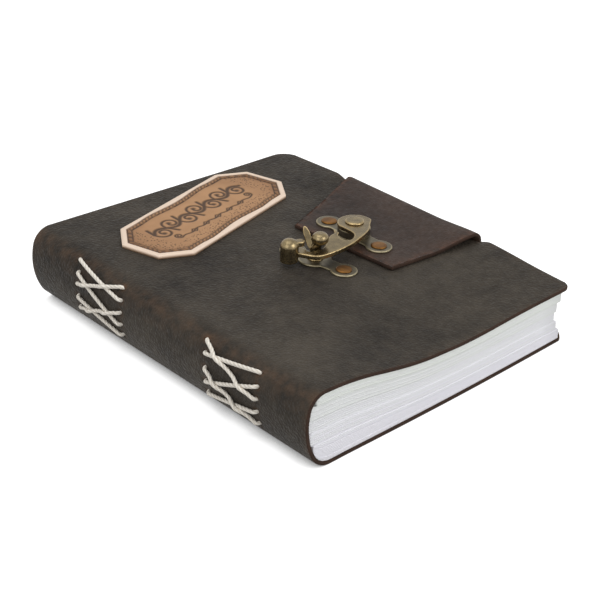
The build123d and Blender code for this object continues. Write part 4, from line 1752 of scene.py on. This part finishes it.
@dataclass
class SwingClasp:
    """Cast swing arm with its knob, catch post, plates and rivets."""

    shape: BookShape
    voxel: float = 0.2
    ease: float = 0.5
    edge_passes: int = 7
    edge_ramp: Ramp = (0.003, 0.016)
    pivot: tuple = (106.3, -2.5)
    catch: tuple = (79.1, -7.4)
    catch_turn: float = 8.3
    catch_runs: tuple = (-15.6, 12.2)
    flap_runs: tuple = (-15.6, 15.6)
    rivet_radius: float = 3.5
    rivet_rise: float = 0.7
    rivet_sides: int = 40
    rivet_dent: float = 0.012
    dome_fall: float = 0.12
    lip_fall: float = 0.35
    shank_radius: float = 1.3
    plate: float = 0.9
    flap_top: float = 1.9

    def cast(self, node: str, name: str, body: Body, material: Material, rounds: int) -> None:
        """Makes a softened, cast-looking copy of a sharp solid.

        Args:
            node: the CAD node that it stands for.
            name: of the new piece.
            body: that it rides on.
            material: of the piece.
            rounds: smoothing passes.
        """
        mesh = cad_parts[node].data.copy()
        shell = bmesh.new()
        shell.from_mesh(mesh)
        bmesh.ops.remove_doubles(shell, verts=shell.verts, dist=1e-6)
        bmesh.ops.scale(shell, vec=Vector((1, 1, 1)) / MM, verts=shell.verts)
        shell.to_mesh(mesh)
        shell.free()
        mesh.materials.clear()
        for layer in list(mesh.attributes):
            if layer.name == "custom_normal":
                mesh.attributes.remove(layer)
        piece = link_piece(name, mesh)
        remesh = piece.modifiers.new("voxels", "REMESH")
        remesh.mode = "VOXEL"
        remesh.voxel_size = self.voxel
        ease = piece.modifiers.new("ease", "SMOOTH")
        ease.factor = self.ease
        ease.iterations = rounds
        settle(piece)
        piece.data.materials.clear()
        piece.data.materials.append(material)
        piece.data.transform(Matrix.Scale(MM, 4))
        self.mark_edges(piece)
        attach(piece, body.value)
        stand_for(piece, node)

    def mark_edges(self, piece: Piece) -> None:
        """Stores how sharply each point of a casting bulges, for its rubbed edges.

        Args:
            piece: the casting.
        """
        mesh = piece.data
        place = points_of(piece)
        normal = np.array([v.normal for v in mesh.vertices])
        ends = np.zeros(len(mesh.edges) * 2, np.int32)
        mesh.edges.foreach_get("vertices", ends)
        one, other = ends.reshape(-1, 2).T
        degree = np.bincount(ends, minlength=len(place))
        mean = np.zeros_like(place)
        np.add.at(mean, one, place[other])
        np.add.at(mean, other, place[one])
        bulge = -((mean / degree[:, None] - place) * normal).sum(1)
        for _ in range(self.edge_passes):
            total = np.zeros(len(place))
            np.add.at(total, one, bulge[other])
            np.add.at(total, other, bulge[one])
            bulge = 0.5 * bulge + 0.5 * total / degree
        paint(piece, "edge", share(bulge, *self.edge_ramp))

    def rivet_template(self) -> Piece:
        """Makes one rivet that stands on the origin: a low hammered dome, a lip and a shank.

        Returns:
            The rivet's object.
        """
        profile = []
        for part in np.linspace(0.12, 1.0, 9):
            drop = self.rivet_rise * (self.dome_fall * part**2 + self.lip_fall * part**12)
            profile.append((self.rivet_radius * part, self.rivet_rise - drop))
        foot = -self.plate - self.shape.leather
        profile += [(self.rivet_radius, 0.0), (self.shank_radius, 0.0), (self.shank_radius, foot)]
        sides = self.rivet_sides
        turn = math.tau * np.arange(sides) / sides
        points = [[(0, 0, self.rivet_rise)]]
        for radius, z in profile:
            reach = radius * (1 + self.rivet_dent * np.sin(3 * turn + z))
            points.append(np.stack([reach * np.cos(turn), reach * np.sin(turn), np.full(sides, z)], -1))
        points.append([(0, 0, foot)])
        last = len(profile) * sides + 1
        faces = tube_faces(len(profile), sides, 1)
        for k in range(sides):
            n = (k + 1) % sides
            faces.append([0, 1 + k, 1 + n])
            faces.append([last, last - sides + n, last - sides + k])
        return new_piece("rivet_pattern", np.concatenate(points), faces, [])

    def rivet_tree(self, pattern: Piece, material: Material) -> Tree:
        """Builds the Geometry Nodes tree that sets a rivet on each point.

        Args:
            pattern: the rivet's object.
            material: of the rivets.

        Returns:
            The node group, with an input for the slope that the rivets stand on.
        """
        tree, enter = start_tree("set_rivets", "Spots", ("Slope",), "Rivets")
        rivet = add_node(tree, "GeometryNodeObjectInfo", {}, {"Object": pattern}).outputs["Geometry"]
        turn = add_node(tree, "ShaderNodeCombineXYZ", {}, {"Y": enter.outputs["Slope"]})
        spots = add_node(tree, "GeometryNodeMeshToPoints", {}, {"Mesh": enter})
        inputs = {"Points": spots, "Instance": rivet, "Rotation": turn}
        placed = add_node(tree, "GeometryNodeInstanceOnPoints", {}, inputs)
        end_tree(tree, placed, material)
        return tree

    def rivets(self, material: Material) -> None:
        """Sets the rivets of both plates.

        Args:
            material: of the rivets.
        """
        pattern = self.rivet_template()
        tree = self.rivet_tree(pattern, material)
        sizes = {"Slope": self.shape.tilt}
        sets = (
            ("catch_rivets", self.catch, self.catch_turn, self.catch_runs, self.plate, Body.COVER),
            ("flap_rivets", self.pivot, 0.0, self.flap_runs, self.flap_top + self.plate, Body.FLAP),
        )
        for node, (u, v), turn, runs, height, body in sets:
            across = u - np.array(runs) * math.sin(math.radians(turn))
            along = v + np.array(runs) * math.cos(math.radians(turn))
            points = self.shape.cover_point(across, along, height)
            piece = grow(node + "_set", points, [], tree, sizes, material)
            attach(piece, body.value)
            stand_for(piece, node)
        bpy.data.objects.remove(pattern)

    def build(self, brass: Material, plate_brass: Material, rivet_brass: Material) -> None:
        """Makes and places the clasp.

        Args:
            brass: of the castings.
            plate_brass: of the plates and the hub.
            rivet_brass: of the rivets and their burrs.
        """
        self.cast("swing_arm", "swing_arm_cast", Body.ARM, brass, 12)
        self.cast("catch_post", "catch_post_cast", Body.COVER, brass, 6)
        self.cast("catch_plate", "catch_plate_stamped", Body.COVER, plate_brass, 3)
        self.cast("flap_plate", "flap_plate_stamped", Body.FLAP, plate_brass, 3)
        self.cast("pivot_hub", "pivot_hub_turned", Body.FLAP, plate_brass, 3)
        self.cast("pivot_rivet", "pivot_rivet_headed", Body.FLAP, brass, 3)
        self.rivets(rivet_brass)
        for node in ("catch_burrs", "flap_burrs"):
            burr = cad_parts[node]
            burr.data.materials.clear()
            burr.data.materials.append(rivet_brass)
            log.info("%s: dressed", node)


@dataclass
class Studio:
    """Pale floor, soft lights, white surround and the camera."""

    focal_px: float = 1650.837
    frame_px: float = 600.0
    sensor: float = 36.0
    clip: tuple = (0.01, 100.0)
    eye: tuple = (-409.162, -459.705, 363.817)
    yaw: float = 48.046
    pitch: float = 29.916
    roll: float = -0.111
    floor_mm: float = 9000.0
    floor_z: float = -0.05
    floor_grey: str = "bcbcbc"
    shadow_mm: float = 10.0
    fill: float = 0.55
    lamps: tuple = (
        ("overhead_softbox", (-100.0, 150.0, 1200.0), 900.0, 4.4),
        ("tail_softbox", (350.0, -1100.0, 700.0), 800.0, 7.6),
        ("spine_softbox", (-1100.0, -250.0, 650.0), 800.0, 3.5),
    )

    def camera(self) -> None:
        """Places the camera at the photograph's viewing angle."""
        data = bpy.data.cameras.new("camera")
        data.sensor_width = self.sensor
        data.lens = self.focal_px / self.frame_px * self.sensor
        data.clip_start, data.clip_end = self.clip
        yaw, pitch, roll = [math.radians(angle) for angle in (self.yaw, self.pitch, self.roll)]
        ahead = Vector((math.cos(yaw) * math.cos(pitch), math.sin(yaw) * math.cos(pitch), -math.sin(pitch)))
        right = Vector((math.sin(yaw), -math.cos(yaw), 0))
        up = right.cross(ahead)
        side = right * math.cos(roll) + up * math.sin(roll)
        top = up * math.cos(roll) - right * math.sin(roll)
        eye = bpy.data.objects.new("camera", data)
        turn = Matrix((side, top, -ahead)).transposed().to_4x4()
        eye.matrix_world = Matrix.Translation(Vector(self.eye) * MM) @ turn
        bpy.context.scene.collection.objects.link(eye)
        bpy.context.scene.camera = eye

    def seen(self, tree: Tree, rays: tuple) -> Node:
        """Adds nodes that are 1 for some kinds of rays and 0 for the others.

        Args:
            tree: the node tree.
            rays: outputs of the light path, two or more.

        Returns:
            The node that gives the value.
        """
        path = add_node(tree, "ShaderNodeLightPath")
        found = path.outputs[rays[0]]
        for ray in rays[1:]:
            found = add_node(tree, MATH, LARGER, {0: found, 1: path.outputs[ray]})
        return found

    def surround(self) -> None:
        """Makes the world: white where it is seen or mirrored, softer where it lights."""
        world = bpy.data.worlds.new("white_surround")
        tree = empty_tree(world)
        seen = self.seen(tree, ("Is Camera Ray", "Is Glossy Ray", "Is Transmission Ray"))
        level = add_node(tree, MAP_RANGE, {}, {"Value": seen, 3: self.fill, 4: 1.0})
        white = add_node(tree, "ShaderNodeBackground", {}, {"Color": linear("ffffff"), "Strength": level})
        add_node(tree, "ShaderNodeOutputWorld", {}, {"Surface": white})
        bpy.context.scene.world = world

    def floor(self) -> None:
        """Lays the floor: matt white paper, which glows where it is seen, with a painted contact shadow
        where ambient occlusion dims the glow, and keeps the lamps' faint shadow.
        """
        half = self.floor_mm / 2
        corners = np.array([(-half, -half), (half, -half), (half, half), (-half, half)])
        points = np.column_stack([corners, np.full(4, self.floor_z)])
        mesh = bpy.data.meshes.new("floor")
        mesh.from_pydata((points * MM).tolist(), [], [[0, 1, 2, 3]])
        made = bpy.data.materials.new("white_paper_sweep")
        tree = empty_tree(made)
        seen = self.seen(tree, ("Is Camera Ray", "Is Glossy Ray"))
        near = {"Distance": self.shadow_mm * MM}
        # Ambient occlusion dims the glow next to the book into a painted contact shadow.
        open_sky = add_node(tree, "ShaderNodeAmbientOcclusion", {"samples": 8}, near).outputs["AO"]
        glow_with_painted_shadow = add_node(tree, MAP_RANGE, {}, {"Value": open_sky, 1: 0.06, 2: 0.5, 3: 0.0, 4: 0.8})
        level = add_node(tree, MATH, TIMES, {0: seen, 1: glow_with_painted_shadow})
        matt = add_node(tree, "ShaderNodeBsdfDiffuse", {}, {"Color": linear(self.floor_grey)})
        glow = add_node(tree, "ShaderNodeEmission", {}, {"Strength": level})
        both = add_node(tree, "ShaderNodeAddShader", {}, {0: matt, 1: glow})
        add_node(tree, "ShaderNodeOutputMaterial", {}, {"Surface": both})
        mesh.materials.append(made)
        link_piece("floor", mesh)

    def lights(self) -> None:
        """Hangs the softboxes, all turned to the book."""
        for name, place, size, power in self.lamps:
            data = bpy.data.lights.new(name, "AREA")
            data.shape = "SQUARE"
            data.size = size * MM
            data.energy = power
            lamp = bpy.data.objects.new(name, data)
            lamp.location = Vector(place) * MM
            lamp.rotation_euler = (-lamp.location).to_track_quat("-Z", "Y").to_euler()
            bpy.context.scene.collection.objects.link(lamp)

    def build(self) -> None:
        """Sets the stage."""
        bpy.context.scene.view_settings.view_transform = "Standard"
        self.camera()
        self.surround()
        self.floor()
        self.lights()


def main() -> None:
    """Builds the diary's looks piece by piece."""
    logging.basicConfig(level=logging.INFO, format="%(name)s: %(message)s")
    Studio().build()
    shape = BookShape()
    # Soft, near-black hide with a dull wax sheen, pebbled grain and brown rubbed edges.
    cover = LeatherFinish("oiled_cowhide", "221e1a", "433d35", "57402f", 1.15, 0.55, 0.6).material()
    # The same hide, finer and redder, smoothed by handling.
    tongue = LeatherFinish("waxed_cowhide", "261e1a", "3f322b", "5c3b29", 0.8, 0.14, 0.55).material()
    # A matt brown line where the hide is cut.
    raw_edge = FibreFinish("cut_leather_edge", "251b16", "433229", 0.35, 0.85).material()
    # A dull, fibrous brown nap on the inside.
    flesh = FibreFinish("leather_flesh_side", "43342a", "5f4b3b", 0.6, 0.95).material()
    # Bright matt leaves, faintly cool or warm from signature to signature.
    paper = PaperFinish("uncoated_paper", "e9e8ee", "e2e5e1").material()
    # Cream cord whose plies show as slanting shadows, with painted shade in the valleys between them.
    linen = ThreadFinish("waxed_linen", "eae4da", "cdc5b8").material()
    # A pale rim round a tan ground, with dark tooled lines.
    tooled = LabelFinish("vegetable_tanned_leather", "dfcab7", "b58c66", "7a573c", "33251e").material()
    # Glossy aged metal with bright rubbed edges, duller on the plates and coppery on the rivets.
    brass = BrassFinish("antique_brass", "6f634c", "88795b", "b8a176", 0.28).material()
    plate_brass = BrassFinish("dulled_plate_brass", "5d574a", "706958", "a89d80", 0.42).material()
    rivet_brass = BrassFinish("aged_rivet_brass", "624425", "7f592d", "8b653d", 0.45).material()
    sewing = Sewing(shape)
    CoverHide(shape, sewing.hole_points()).build([cover, raw_edge, flesh])
    TextBlock(shape).build(paper)
    sewing.build(linen)
    FlapStrip(shape).build([tongue, raw_edge, flesh])
    TitleLabel(shape).build(tooled)
    SwingClasp(shape).build(brass, plate_brass, rivet_brass)


if __name__ == "__main__":
    main()
